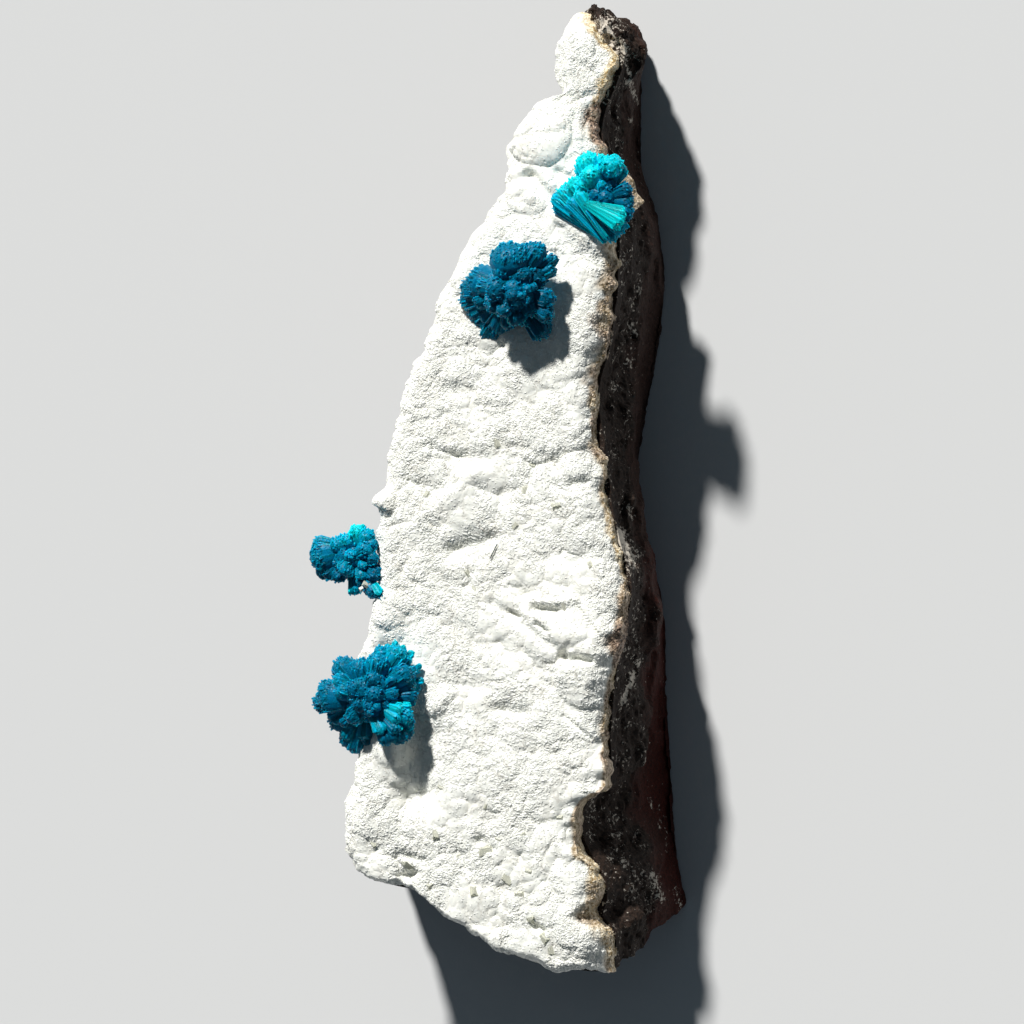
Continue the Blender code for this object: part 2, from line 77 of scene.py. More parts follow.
# The slab's outline where it meets the surface below.
FOOT_LEFT = [
    (-12.6, -36.4), (-14.6, -32.5), (-13.8, -22), (-12.2, -10), (-11, 0), (-8.6, 9), (-5.4, 17), (-1.6, 26),
    (1.6, 33), (4.4, 39), (7.2, 43), (8, 46.5)]
FOOT_RIGHT = [
    (17.9, -43.2), (17, -39), (16.4, -31), (15.8, -22), (15.3, -12), (13.6, -6), (12.4, -1), (12.9, 5),
    (14.3, 11.5), (15.3, 18), (15.4, 23.5), (14.4, 29), (13.1, 34), (12.9, 42), (12.9, 47.6)]
FOOT_WIDE = [(-12.6, -36.4), (-4, -38.2), (5, -41.5), (12, -43), (17.9, -43.2)]
FOOT_TIP = [(8, 46.5), (9.8, 48.6), (11.6, 49), (12.9, 47.6)]
FOOT_OUTLINE = (FOOT_LEFT, FOOT_RIGHT, FOOT_WIDE, FOOT_TIP)

# The slab's height along Y, and the crust's mean thickness on it along Y.
SLAB_HEIGHT = [(-50, 15), (-30, 16.9), (24, 16.5), (50, 12.6)]
CRUST_THICKNESS = [(-50, 3.5), (-30, 2.3), (20, 2.1), (50, 1.6)]

# How the crust meets its borders. It is sunk into the slab by SINK. Soft noise moves its borders,
# by spacing, reach and seed, and fades out over RAGGED_MARGIN. The right one is BROKEN_AWAY.
SINK = 0.25
LEFT_OVERHANG = 0.9
ROUNDING = 1.3
ROUNDED_MARGIN = 2.2
WIDE_END_SHARPNESS = 2.5
NOSE_HOLLOW = 0.6
RAGGED = [(2.9, 0.4, 29), (1.1, 0.25, 34), (0.5, 0.12, 38)]
BROKEN_AWAY = 0.18
RAGGED_MARGIN = 3

# The crust's broken right border along Y: how high it stands, how far its stain reaches in, and
# how brown the stain is. It thins out over RIM_MARGIN.
BROKEN_RIM = [
    (-50, .7, .4, .5), (-46, 1.5, .9, .5), (-38, 2.2, .9, .3), (-35.5, 2.3, .3, .6), (-29, 2.2, .3, .7),
    (-24, .9, .3, .6), (-18, .7, .3, .6), (-16.5, 1.7, .9, .9), (-11, 1.7, .9, .9), (-9.5, .6, .35, .4),
    (2, .6, .4, .4), (4, .6, .9, .5), (9.5, .6, .7, .5), (15, .7, .5, .7), (17, .8, 1.3, .7),
    (23, .8, 1.1, .7), (33, .6, .3, .6), (35.5, .8, 1.4, .9), (39.3, .9, 1.3, .9), (40.2, 1.6, .8, .1),
    (43, 1.6, 1, .05), (44.5, 1, .6, .1), (47, .8, 1.3, .15), (49.5, .8, 1.8, .2)]
RIM_MARGIN = 2.4

# The tan shoulder of crust below the top right rosette, along Y: its reach out and down.
SHOULDER = [
    (24.6, 0, 0), (27.4, .7, .9), (28.4, 1.3, 1.6), (29.6, 2.5, 3), (30.6, 1.9, 2.4), (32, 1.4, 1.6),
    (33.7, .9, .6), (34.2, 0, 0)]

# The right flank's ridge along Y, with its share of the height, and the left flank's ledge.
FLANK_RIDGE = [
    (-50, -.8, .5), (-46.5, -.3, .5), (-42.5, .9, .5), (-28, .9, .55), (-8, .6, .6), (6, .3, .55),
    (24, .9, .5), (34, .3, .55), (42, -.2, .7), (45.5, 1.7, .8), (48, 2.5, .8), (50, 1.2, .8)]
LEFT_LEDGE = [
    (-36, 0), (-30, 1.3), (-12, 1.6), (-8, .2), (12, 0), (16, 1.2), (32, .9), (38, 0)]
LEDGE_TOP = 0.42

# Lumps of the crust: a field of small ones, and the large ones with centre, radius and height.
LUMP_CELL = 3.4
LUMP_HEIGHT = 0.62
LUMP_SHARE = 0.4
LARGE_LUMPS = [
    (7.2, 36.6, 3.6, 1.4), (10.6, 45.6, 3.4, .55), (6.4, 31, 3, .8), (-9.3, -1.4, 1.7, 1),
    (15, 30.4, 2.3, 1.5), (12.9, -19, 3.6, 1.1), (9.4, -14, 4.2, .9), (-7.9, -26.6, 2.4, .9),
    (-10.2, -33.5, 3.6, .6), (-8.4, -12.6, 2.2, .8), (2.5, -30, 4.5, .5), (12.4, -45, 3.2, .9)]

# Ridges and furrows of the crust as seen: from (u, v) to (u, v), half width and height.
STROKES = [
    ((4.2, -12.5), (6.2, -12.7), .5, -.9), ((4.5, -11.8), (8.1, -11.7), .4, .3),
    ((1.4, -12.8), (2.4, -13.4), .25, -.5), ((4.2, -14.1), (5.3, -14.9), .25, -.5),
    ((-.4, -11.9), (6.3, -16.6), .6, -.35), ((7, -17.4), (7.4, -18.1), .5, -1.1),
    ((8.2, -17.7), (9.8, -18), .45, -1), ((7.4, -15.4), (9.8, -15.4), 1.7, .5),
    ((8.1, -11.7), (11.1, -15.7), .2, -.3), ((.1, -23), (2.6, -23.3), .8, -.5),
    ((-6.5, -23.3), (-5.1, -21.7), .6, .35), ((-8, -25.5), (-8.4, -31.3), 2.1, -1.3),
    ((7.2, -23.8), (10, -26.1), .25, -.3), ((6.9, 28.5), (10.8, 25.7), 1.1, .9),
    ((-4.5, -6.4), (-.7, -5.3), 1.1, -.9), ((-7.4, -3.2), (-1.6, 2), 1.1, .45),
    ((8.1, .5), (9.3, .7), .6, -.5), ((-4.2, 3.2), (-1.1, 3), .9, -.5),
    ((-5.1, 10.5), (-4.2, 10.3), .8, -.4), ((-6.5, 4.2), (-4.1, 3.4), .3, -.3),
    ((1.6, 32), (3.5, 32.7), .5, -.4), ((3.5, 32.7), (5.8, 30.4), .6, -.7),
    ((6.5, 33.1), (7.8, 32.5), .4, -.35), ((-9.7, -40.6), (-8.6, -40.1), .5, -.8),
    ((4.1, -45.7), (4.9, -46.1), .4, -.8), ((-10, -38.2), (-7.7, -38.8), .5, -.4),
    ((-1.6, -36.8), (-.3, -37.6), .5, -.4), ((-10.8, -26.5), (-9.9, -30.6), 1.5, .9)]

# Finer and finer knobs of crystals on the crust: spacing, height, and seed. WARP bends their
# pattern by this much, over WARP_CELL.
CRUMBS = [(1.8, 0.33, 61), (0.95, 0.18, 62), (0.5, 0.09, 63)]
WARP = 0.7
WARP_CELL = 2.3

# How widely crumbly patches of the crust are spaced, how much of the knobs' height the smooth rest
# has, and places that are smooth for sure: centre as seen, and radius.
CRUMBLE_CELL = 5.5
SMOOTH_SHARE = 0.5
SMOOTH_PLACES = [((4.7, 36), 3.2), ((-9.9, -29.4), 2.4), ((8.6, -14.4), 2.4), ((8, -9), 2.6)]

# Fracture facets of the basalt: spacing, depth and seed of the coarse ones on its four sides, and
# of the finer ones all over. FACET_EDGE is how soft the steps between them are.
FACETS = [(9.5, 1.5, 30), (4.2, 0.7, 80)]
HACKLES = [(2.2, 0.42, 91), (0.9, 0.22, 92), (0.55, 0.14, 93)]
FACET_TILT = 1.4
FACET_EDGE = 0.06
TOP_FADE = 0.92
WORN_LIFT = (0.5, 1.6)
WORN_STEP = 4

# Pale marks on the basalt's right flank and tip, in the same way, with their strength.
PALE_MARKS = [
    ((13, -5), (14.2, -7.7), .7, 1), ((12.2, -4), (13.8, -4.5), .4, .7),
    ((13.6, -1.2), (14.5, -3.3), .3, .8), ((13.9, 42.5), (14.7, 40.7), .3, .8),
    ((14.1, 38.8), (14.2, 38.3), .3, .9), ((14.4, -14.4), (14.7, -15.9), .2, .9),
    ((15, -18.2), (13.3, -22.3), .3, .9), ((16.2, -32.3), (16.4, -33.6), .2, .8),
    ((17.1, -33), (17.2, -35.6), .15, .8), ((17.7, -34.1), (17.9, -37.8), .15, .7),
    ((13.1, -36), (13.2, -36.6), .2, .7), ((13.3, -38.5), (13.5, -39.3), .2, .7),
    ((11.2, -40.9), (11.6, -42.1), .25, .7), ((16.6, -40.4), (17.5, -42.8), .5, .8),
    ((18.9, -41.8), (19.4, -43.8), .4, .7), ((12.5, 45), (13.6, 44.8), .12, 1.3),
    ((13.6, 44.8), (14.9, 40.2), .13, 1.2), ((10.9, 48.4), (13.3, 45.4), 1, 1.3),
    ((14, 12.5), (14.6, 17), .6, .5)]

# Seeds of the other repeatable patterns, and how much of its cell a centre may lie in.
LUMP_SEED = 5
WORN_SEED = 17
CENTRE_SPREAD = 0.7

# Cells across, along and up of the two slabs' skins.
CRUST_CELLS = (196, 450, 6)
BASALT_CELLS = (66, 360, 52)

# Small zeolite crystals on the crust: the number in each piece, and the pieces.
GRAINS = 17000
GRAIN_PIECES = 3

# Larger glassy crystals on the crust, where they are seen, and their size.
GLASSY = [
    (1.2, -40.9, 1.1), (-2.2, -41.9, .8), (-9.1, -39.4, .9), (-1, -37.6, 1.1), (-1, -33.2, .6),
    (-6.3, -36.1, .8), (.4, -36.6, .6), (2.5, -42.4, .8), (3.9, -45.1, .8), (-5.6, -31.1, .8),
    (-3.7, -38.2, .5), (-12.8, -37.1, .6), (6.7, -34.3, .6), (-6.6, -41.4, .7), (2.9, -36.1, .5),
    (3.6, -39.9, .6), (5.2, -46.8, .8), (5.8, -48.2, .7), (.2, 4.7, .8), (6.5, -1.9, .9), (3.1, -.2, .6),
    (3.9, 2.3, .7), (2.1, -3.9, .6), (-7, -.5, .6), (7.3, -12.3, .9), (-2.1, -10.4, .6), (-2.8, -8.8, .6),
    (10, -7.8, .6)]

# Two of them that sit on the left upper rosette: offset from its centre, height, and size.
PERCHED = [(1.65, -2.55, 1.9, 0.8), (1.25, -2.95, 1.6, 0.65)]

# The hair-thin blue crystal on the crust, from end to end as seen.
NEEDLE = [(-0.42, -7.3), (0.31, -5.75)]

# The photograph's view: its lean from straight down, towards the right, its scale in pixels for a
# millimetre at the middle's height, and how far away the lens is.
LEAN = math.radians(18)
VIEW_SCALE = 9.58
VIEW_DISTANCE = 700
VIEW_MIDDLE = (1.77, -2.4)
VIEW_HEIGHT = 10
IMAGE_SIDE = 1024
SENSOR = 36

# Where most sprays have their root, below the rosette's centre.
BELOW = (0, 0, -0.4)


def spray(u, v, z, radius, glow, flat=0.85, root=BELOW, share=0.35, turn=0):
    """A spray of blades: the centre and radius of the dome that they end on, and how it looks.

    Places count from the rosette's centre: right and up as seen, and height. Glow is painted
    light: the light that comes through and how lit the spray is, painted into its colour; flat the
    dome's depth for its width, share the root's width for the dome's, and turn the degrees by
    which the flat side is turned from facing the eye.
    """
    return (u, v, z), radius, glow, flat, root, share, turn


# Each rosette: its centre, seed and sprays. Shine is a spray's least glow, and how much of its own
# is added; glow is painted light, so a rosette that meets the light more fully is painted brighter.
# The filling is a ball of sprays painted dark, as shade deep between the sprays: its middle, their
# reach, radius and number.
FROM_RIGHT = (1, -3.8, -0.9)
FROM_LEFT = (-1.5, -0.3, 0.9)
TOP_RIGHT = {
    "centre": (14.7, 29.5, 20.6), "filling": ((0.5, 0.2, -0.5), 0.9, 1.1, 10), "seed": 11,
    "shine": (0.06, 0.98), "sprays": [
    (-1.3, 3.6, .5, 1.15, .95), (-.8, 2.4, .9, 1.2, .95), (-1.7, 3, .1, .8, .8), (-.9, 4.2, .2, .75, .95),
    (-1.3, 1.5, .6, 1, .85), (.25, 4.3, .3, .45, 1), (1.15, 3.25, .8, 1.35, .75, .85, (.9, 2.3, -1.5)),
    (1.5, 3.9, .2, .8, .8), (2.1, 2.8, 0, .85, .6), (-2.3, 1.4, .1, 1.1, .95, .7, FROM_RIGHT, .8),
    (-3.2, .8, -.4, 1.1, .8, .6, FROM_RIGHT, .8), (-4, .1, -.9, 1, .6, .6, FROM_RIGHT, .8),
    (-4.1, -.6, -1.3, .75, .45, .5, FROM_RIGHT, .9), (-3, -1, -1, .8, .35, .5, FROM_RIGHT, .9),
    (-2.4, -.3, 0, 1, .55, .6, FROM_RIGHT, .9), (-1.6, .5, .6, 1, .8, .6, (1.1, -3.6, 0), .8),
    (-.6, -.9, .6, .9, .4, .6, (1.2, -3.8, 0), .8), (1.6, -2.1, 1.6, 1.1, 1.1, .35, FROM_LEFT, .4),
    (2, -1.4, 1.5, .75, 1, .4, FROM_LEFT, .4), (2.5, .8, .3, .95, .04), (2.7, -.3, .2, .9, .08),
    (2.6, -1.3, .3, .95, .12), (1.9, -2.6, .5, 1, .44), (1.2, -3.4, -.4, .9, .42), (.4, -3.6, -.8, .6, .45),
    (1.2, 1.4, .2, .8, .2), (.1, 1.3, .6, .8, .55)]}
UPPER = {
    "centre": (5.7, 20.1, 22.4), "filling": ((0.4, 0.2, -0.6), 1.65, 1.4, 16), "seed": 23,
    "shine": (0.04, 0.48), "sprays": [
    (-.1, 3, .8, 2.1, .36, .95), (-2.7, 1, -1.7, 1.9, .33, .9), (-4, .4, -1.7, 1.25, .34, .6),
    (-4.4, -.7, -2.2, 1, .5, .4), (-3.6, -1.9, -2.6, 1.05, .42, .5), (-2.8, -2.9, -2.9, 1.25, .37, .4),
    (-2.5, -4.2, -2.9, .7, .45, .4), (-1.7, -4.3, -2.9, .6, .35, .4), (2.4, 3.8, .3, 1.4, .45),
    (1.2, 3.6, .6, 1.4, .3), (4, 3, -.5, 1.1, .42, .5, BELOW, .35, 60),
    (3.9, 2, -.5, 1, .38, .5, BELOW, .35, 60), (3.4, -.7, -.3, 1.25, .14), (3.5, -2.1, -.5, 1.1, .14),
    (3, -3.6, -1.7, 1.3, .14, .7), (1.8, -3, -.9, .6, .3), (.6, -2.6, .4, 1, .15), (1.9, -1.7, .3, .9, .2),
    (-1.2, -3.2, -2.7, 1.1, .25), (-2.3, -2.4, -2.5, 1, .32), (-.2, -3, -1.4, .9, .2),
    (-1.2, .3, 1.5, 1.4, .27), (-2.9, -.8, -1.3, 1, .28), (-1.6, -1.3, .8, 1, .2), (-.6, -1.8, 1.4, .9, .2),
    (.2, -.4, 2.1, .8, .2), (1.75, .3, 1.6, .5, .6), (2.4, .5, 1.2, .45, .45), (1.1, -.4, 2.1, .5, .55),
    (.55, -1.1, 1.8, .5, .5), (1.6, -.9, 1.6, .5, .3), (-.8, 2, 1.6, 1, .45), (-2.6, .6, -.5, 1, .42),
    (1.2, 1.6, 1, 1.2, .12), (2.6, 1.6, -.2, 1.3, .04)]}
FROM_TOP = (0.4, 1.2, -0.4)
LEFT_UPPER = {
    "centre": (-13.3, -7.4, 17.6), "filling": ((0.3, 0, -0.2), 1.1, 1.1, 14), "seed": 37,
    "shine": (0.04, 0.88), "sprays": [
    (-2.6, .5, .3, 1.8, .37, .6, FROM_TOP), (-2.9, 1.5, .3, 1.15, .4, .7, FROM_TOP),
    (-1.1, 1.5, .5, 1.1, .45), (-.2, 1.9, .9, 1, .65), (.8, 2.6, .9, 1.15, .95), (1.3, 3.5, .9, .3, 1),
    (1.7, 2.4, 1.2, 1, .6), (1.6, 1, 1.4, 1.1, .4), (2.2, 1.6, 1.3, .8, .4), (2.3, .2, 1.5, .8, .3),
    (-.4, -.8, 1.5, 1, .4, .6, (.4, .9, .2), .6), (.2, .4, 1.3, .9, .5), (-2, -1, 0, 1.2, .15, .6),
    (-2.8, -1.2, -.3, .9, .32, .5), (-1.2, -1.5, .1, .9, .15), (1.3, -.5, 1.6, .6, .4, .7, (.9, .9, 0)),
    (1.2, -1.4, 1.5, .75, .4, .6, (.9, .7, 0)), (1, -2.2, 1.2, .5, .35), (.5, -2.9, .4, .8, .5),
    (0, -3.2, .7, .3, 1), (1.9, -2.6, 1, .9, .2), (2.5, -3.2, 1.3, .9, .2), (2.5, -1.4, 1.3, .9, .12),
    (3.8, -4, 1.9, .6, .25), (-.4, .4, -1.8, 1.6, .1), (3, -3.3, 2.2, .38, .85, .5, (2.5, -2.5, 1.9), .9)]}
LEFT_LOWER = {
    "centre": (-10, -21.8, 21.8), "filling": ((0.9, 0.6, -0.8), 1.75, 1.4, 16), "seed": 41,
    "shine": (0.02, 0.74), "sprays": [
    (-3.5, .3, -.5, 1.9, .27, .65), (-4.8, -.4, -1, 1, .27, .6), (-4.2, 1.1, -.6, 1, .3, .6),
    (-2.3, 3.1, -.4, 1.4, .3), (-.6, 3, .3, 1.35, .3), (1.2, 3.5, .4, 1.5, .42), (1.6, 4.6, -.1, 1.1, .5),
    (2.9, 4.5, -.2, 1.3, .7), (2.1, 5.5, -.4, .35, .8, .6, (1.8, 3.8, -.3), .8),
    (2.9, 5.9, -.5, .3, .95, .6, (2.4, 4, -.3), .9), (3.7, 5.4, -.5, .35, 1, .6, (2.9, 3.9, -.3), .9),
    (4.5, 4.8, -.8, .4, 1, .6, (3.3, 3.4, -.5), .8), (3.6, 4.7, -.5, .5, 1), (4.2, 4.1, -.7, .5, .9),
    (5.4, 3.5, -1.4, .3, .8, .7, (3.8, 2.6, -1.2), .9), (5, 3.1, -1.3, .4, .7, .7, (3.6, 2.2, -1.2), .8),
    (4.5, 3.1, -.8, .6, .5), (5.6, 2, -1.5, .35, .7, .7, (3.9, 1.6, -1.2), .8), (5, 1.3, -1.3, .5, .45),
    (3.6, 2.6, .1, 1.3, .36), (4.1, 1.6, -.4, 1, .42), (2.6, 2.1, 1.3, .45, .4), (2.7, .7, 1.3, .65, .3),
    (4.3, .3, -.4, 1, .15), (-1, 1.2, 1, 1.2, .25), (.6, 2.1, 1.3, 1, .25), (-2.3, .9, .6, 1.1, .45),
    (-2.6, 2, .4, 1, .5), (-1.3, -1.5, .4, 1.1, .42, .5, (.8, .4, .5), .5),
    (-2.4, -2.2, -.9, .8, .32, .5, (.4, -.1, 0), .5), (-3.1, -1.6, -1.5, 1.2, .36),
    (-3.1, -2.4, -2, 1, .38), (-2, -3.6, -2.1, 1, .6, .6), (-2.2, -4.3, -2.7, .8, .4),
    (-1.2, -4.7, -2.8, 1.1, .4, .6), (-.3, -3.5, -1.5, .8, .5, .6), (.1, -4.1, -2.4, .9, .2),
    (1.3, -2.8, 1.2, .85, .72, .45), (1, -.7, 1.9, .5, .4), (.4, -1.2, 1.5, .5, .27),
    (3.3, -.9, 1.3, .6, 1), (4.2, -.7, .6, .5, 1), (3, -1.8, 1.4, .7, .8), (4, -1.7, .8, .85, .65),
    (4.2, -2.3, .4, .7, .5), (2.9, -2.7, 1.2, .8, .45), (3.5, -2.9, 1.1, .25, 1), (3.2, -3.5, .4, 1.1, .15),
    (4, -3.2, -.2, .9, .15), (1.9, -3.8, .6, .9, .18), (-.6, -.4, .9, 1, .15)]}

# Cavansite blades: how many for a dome of 1 mm radius, how wide, how thick and how tapered they
# are, and how far they stand out of a spray's body. A root of WIDE_ROOT makes a fan of prisms.
BLADE_DENSITY = 80
BLADE_WIDTH = (0.15, 0.28)
BLADE_THICKNESS = (0.1, 0.18)
BLADE_REACH = (-0.05, 0.26)
CHISEL = (0.05, 0.13)
WIDE_ROOT = 0.5

# A spray's body: its nodules, by spacing and height, how far it stays below the blades' ends, and
# the sides and rings of its dome for its radius. GLINTS is the share of blades that flash.
NODULES = [(0.9, 0.21), (0.36, 0.09)]
BODY_SUNK = 0.03
BODY_SIDES = (24, 18)
BODY_RINGS = (8, 7)
CONE_RINGS = 3
# The filling's glow is low: it is painted dark, as shade deep between the sprays.
FILLING_GLOW = 0.22
GLINTS = 0.03
FILLING_LOWEST = -0.4

SCATTER = np.array([374761393, 668265263, 1440662683])


def scatter(cells, seed):
    """Repeatable numbers between 0 and 1, one for each row of whole-number cells."""
    n = cells.astype(np.int64) @ SCATTER[:cells.shape[-1]] + seed * 362437
    n = n & 0xFFFFFFFF
    n = ((n ^ (n >> 13)) * 1274126177) & 0xFFFFFFFF
    return (n ^ (n >> 16)) / 0xFFFFFFFF


def nearby(points, cell, seed):
    """For each cell round a point: the cell, and the offset from its own centre to the point.

    The centre is moved from the middle along each axis by up to CENTRE_SPREAD / 2 of a cell.
    """
    home = np.floor(points / cell)
    axes = points.shape[1]
    for step in np.ndindex(*(3,) * axes):
        cells = home + np.array(step) - 1
        own = np.stack([scatter(cells, seed + k) for k in range(axes)], axis=1)
        yield cells, points - (cells + 0.5 + CENTRE_SPREAD * (own - 0.5)) * cell


def knobs(points, cell, seed):
    """Half-ball bumps, one to a cell, 0.55 to 0.95 of a cell in radius; the highest one counts."""
    height = np.zeros(len(points))
    for cells, offset in nearby(points, cell, seed):
        radius = cell * (0.55 + 0.4 * scatter(cells, seed + points.shape[1]))
        dome = np.sqrt(np.clip(1 - (offset ** 2).sum(1) / radius ** 2, 0, 1))
        height = np.maximum(height, dome * radius / cell)
    return height


def facets(points, cell, seed):
    """Flat facets: each point takes its depth from the tilted plane of the nearest centre.

    Near a border the planes of both sides are blended, by weights that fall off as a bell curve.
    """
    planes, distances = [], []
    own = seed + points.shape[1]
    for cells, offset in nearby(points, cell, seed):
        plane = scatter(cells, own) - 0.5
        for axis in range(points.shape[1]):
            tilt = scatter(cells, own + 1 + axis) - 0.5
            plane = plane + FACET_TILT * tilt * offset[:, axis] / cell
        planes.append(plane)
        distances.append((offset ** 2).sum(1))
    distances = np.array(distances) / (cell * cell * FACET_EDGE)
    weights = np.exp(distances.min(0) - distances)
    return (weights * np.array(planes)).sum(0) / weights.sum(0)


def ripple(points, cell, seed):
    """Soft noise from -1 to 1: numbers at the corners of cubes, blended by a smooth step."""
    low = np.floor(points / cell)
    share = points / cell - low
    share = share * share * (3 - 2 * share)
    total = np.zeros(len(points))
    for corner in np.ndindex(*(2,) * points.shape[1]):
        corner = np.array(corner)
        weight = np.prod(np.where(corner, share, 1 - share), axis=1)
        total = total + weight * scatter(low + corner, seed)
    return 2 * total - 1


def along_outline(points, share):
    """Points at the given shares of an outline's length, rounded by a Catmull-Rom spline."""
    points = np.array(points, float)
    reach = np.concatenate([[0], np.cumsum(np.hypot(*np.diff(points, axis=0).T))])
    reach /= reach[-1]
    padded = np.vstack([2 * points[0] - points[1], points, 2 * points[-1] - points[-2]])
    index = np.clip(np.searchsorted(reach, share, side="right") - 1, 0, len(points) - 2)
    u = ((share - reach[index]) / (reach[index + 1] - reach[index]))[:, None]
    p0, p1, p2, p3 = (padded[index + k] for k in range(4))
    return 0.5 * (2 * p1 + (p2 - p0) * u + (2 * p0 - 5 * p1 + 4 * p2 - p3) * u ** 2
                  + (3 * p1 - p0 - 3 * p2 + p3) * u ** 3)


def between_outlines(outlines, s, t):
    """Coons patch: points inside four outlines, s from left to right and t from near to far."""
    left, right, near, far = outlines
    side_l, side_r = along_outline(left, t), along_outline(right, t)
    end_n, end_f = along_outline(near, s), along_outline(far, s)
    s, t = s[:, None], t[:, None]
    corners = ((1 - s) * (1 - t) * np.array(near[0]) + s * (1 - t) * np.array(near[-1])
               + (1 - s) * t * np.array(far[0]) + s * t * np.array(far[-1]))
    return (1 - s) * side_l + s * side_r + (1 - t) * end_n + t * end_f - corners


def along_y(listed, y):
    """The values of a table that runs along Y, in straight slopes between its places."""
    places, *values = np.array(listed).T
    return [np.interp(y, places, value) for value in values]


def which_side(share):
    """-1 where a share is 0, 1 where it is 1, and 0 between."""
    return np.isclose(share, 1).astype(int) - np.isclose(share, 0).astype(int)


def smooth_step(value):
    """0 below 0, 1 above 1, and an S-shaped rise between."""
    value = np.clip(value, 0, 1)
    return value * value * (3 - 2 * value)


def seen(points):
    """Where points show in the photograph's view, in millimetres right and up at mid height.

    Right is X cos - Z sin of LEAN, depth is X sin + Z cos, and what is nearer shows larger.
    """
    x, y, z = points[:, 0], points[:, 1], points[:, 2] - VIEW_HEIGHT
    depth = x * math.sin(LEAN) + z * math.cos(LEAN)
    nearer = VIEW_DISTANCE / (VIEW_DISTANCE - depth)
    return np.column_stack([x * math.cos(LEAN) - z * math.sin(LEAN), y]) * nearer[:, None]


def strokes(places, listed):
    """Ridges and furrows: for each, its height times a bell curve of the distance to its line."""
    total = np.zeros(len(places))
    for start, end, width, height in listed:
        start, end = np.array(start), np.array(end)
        run = end - start
        share = np.clip((places - start) @ run / (run @ run), 0, 1)
        distance = ((places - start - share[:, None] * run) ** 2).sum(1)
        total += height * np.exp(-distance / (width * width))
    return total


def every_pair(rows, columns):
    """Every pair of a whole number below rows and one below columns, as two arrays."""
    return (g.ravel() for g in np.meshgrid(np.arange(rows), np.arange(columns), indexing="ij"))


def box_skin(cells, plain):
    """The skin of a unit box cut into cells: its points and its faces, which point outwards.

    The sides are grids. The lowest side is plain if wanted: a strip from left to right for each
    row, with one face of many corners at each end.
    """
    across, along, up = cells
    step = np.array([(along + 1) * (up + 1), up + 1, 1])
    quads = []
    for axis, end in ((2, 0), (2, 1), (0, 0), (0, 1), (1, 0), (1, 1))[int(plain):]:
        a, b = every_pair(*np.delete(cells, axis))
        ahead, beside = np.delete(step, axis)
        corner = a * ahead + b * beside + end * cells[axis] * step[axis]
        quad = np.stack([corner, corner + ahead, corner + ahead + beside, corner + beside], 1)
        quads.append(quad if end == (axis != 1) else quad[:, ::-1])
    quads = np.concatenate(quads)
    used, places = np.unique(quads, return_inverse=True)
    shares = np.stack([used // step[0] / across, used // step[1] % (along + 1) / along,
                       used % (up + 1) / up], 1)
    closing = []
    if plain:
        row, column = step[1] * np.arange(along), step[0] * np.arange(across + 1)
        far = row + across * step[0]
        strip = np.stack([row, row + step[1], far + step[1], far], 1)
        closing = [np.searchsorted(used, part) for part in
                   (strip, column[::-1][None], column[None] + along * step[1])]
    return shares, places.reshape(quads.shape), closing


def unit(vectors):
    """The same directions, one long."""
    return vectors / np.maximum(np.linalg.norm(vectors, axis=-1, keepdims=True), 1e-9)


def outward(points, quads):
    """Unit normals at the points: the cross product of each quad's diagonals, summed up."""
    p = points[quads]
    across = np.cross(p[:, 2] - p[:, 0], p[:, 3] - p[:, 1])
    normal = np.zeros_like(points)
    for corner in range(4):
        np.add.at(normal, quads[:, corner], across)
    return unit(normal)


def new_piece(name, points, faces, material, shades=None, smooth=None):
    """A mesh of points in millimetres and arrays of faces, which rides on the specimen.

    The material reads each shade, a number or vector for every point, as an attribute. Smooth
    says which arrays of faces are shaded smooth.
    """
    mesh = bpy.data.meshes.new(name)
    corners = np.concatenate([part.ravel() for part in faces])
    counts = [len(part) for part in faces]
    sizes = np.repeat([part.shape[1] for part in faces], counts)
    mesh.vertices.add(len(points))
    mesh.vertices.foreach_set("co", ((points - MIDDLE) * MM).astype(np.float32).ravel())
    mesh.loops.add(len(corners))
    mesh.loops.foreach_set("vertex_index", corners.astype(np.int32))
    mesh.polygons.add(len(sizes))
    mesh.polygons.foreach_set("loop_start", (np.cumsum(sizes) - sizes).astype(np.int32))
    mesh.polygons.foreach_set("use_smooth", np.repeat(smooth or [False] * len(faces), counts))
    mesh.update(calc_edges=True)
    mesh.validate()
    for shade, values in (shades or {}).items():
        values = np.asarray(values, np.float32)
        kind, key = ("FLOAT", "value") if values.ndim == 1 else ("FLOAT_VECTOR", "vector")
        layer = mesh.attributes.new(shade, kind, "POINT")
        layer.data.foreach_set(key, values.ravel())
    mesh.materials.append(material)
    obj = bpy.data.objects.new(name, mesh)
    bpy.context.scene.collection.objects.link(obj)
    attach(obj, "root")
    return obj


def crust_relief(x, y):
    """Height of the crust's lumps above its mean thickness, as round as drops of wax."""
    small = LUMP_HEIGHT * knobs(np.column_stack([x, y]), LUMP_CELL, LUMP_SEED)
    relief = small
    for lump_x, lump_y, radius, height in LARGE_LUMPS:
        reach = ((x - lump_x) ** 2 + (y - lump_y) ** 2) / radius ** 2
        dome = height * np.sqrt(np.clip(1 - reach, 0, 1))
        relief = np.maximum(relief, dome + LUMP_SHARE * small * (reach < 1))
    return relief


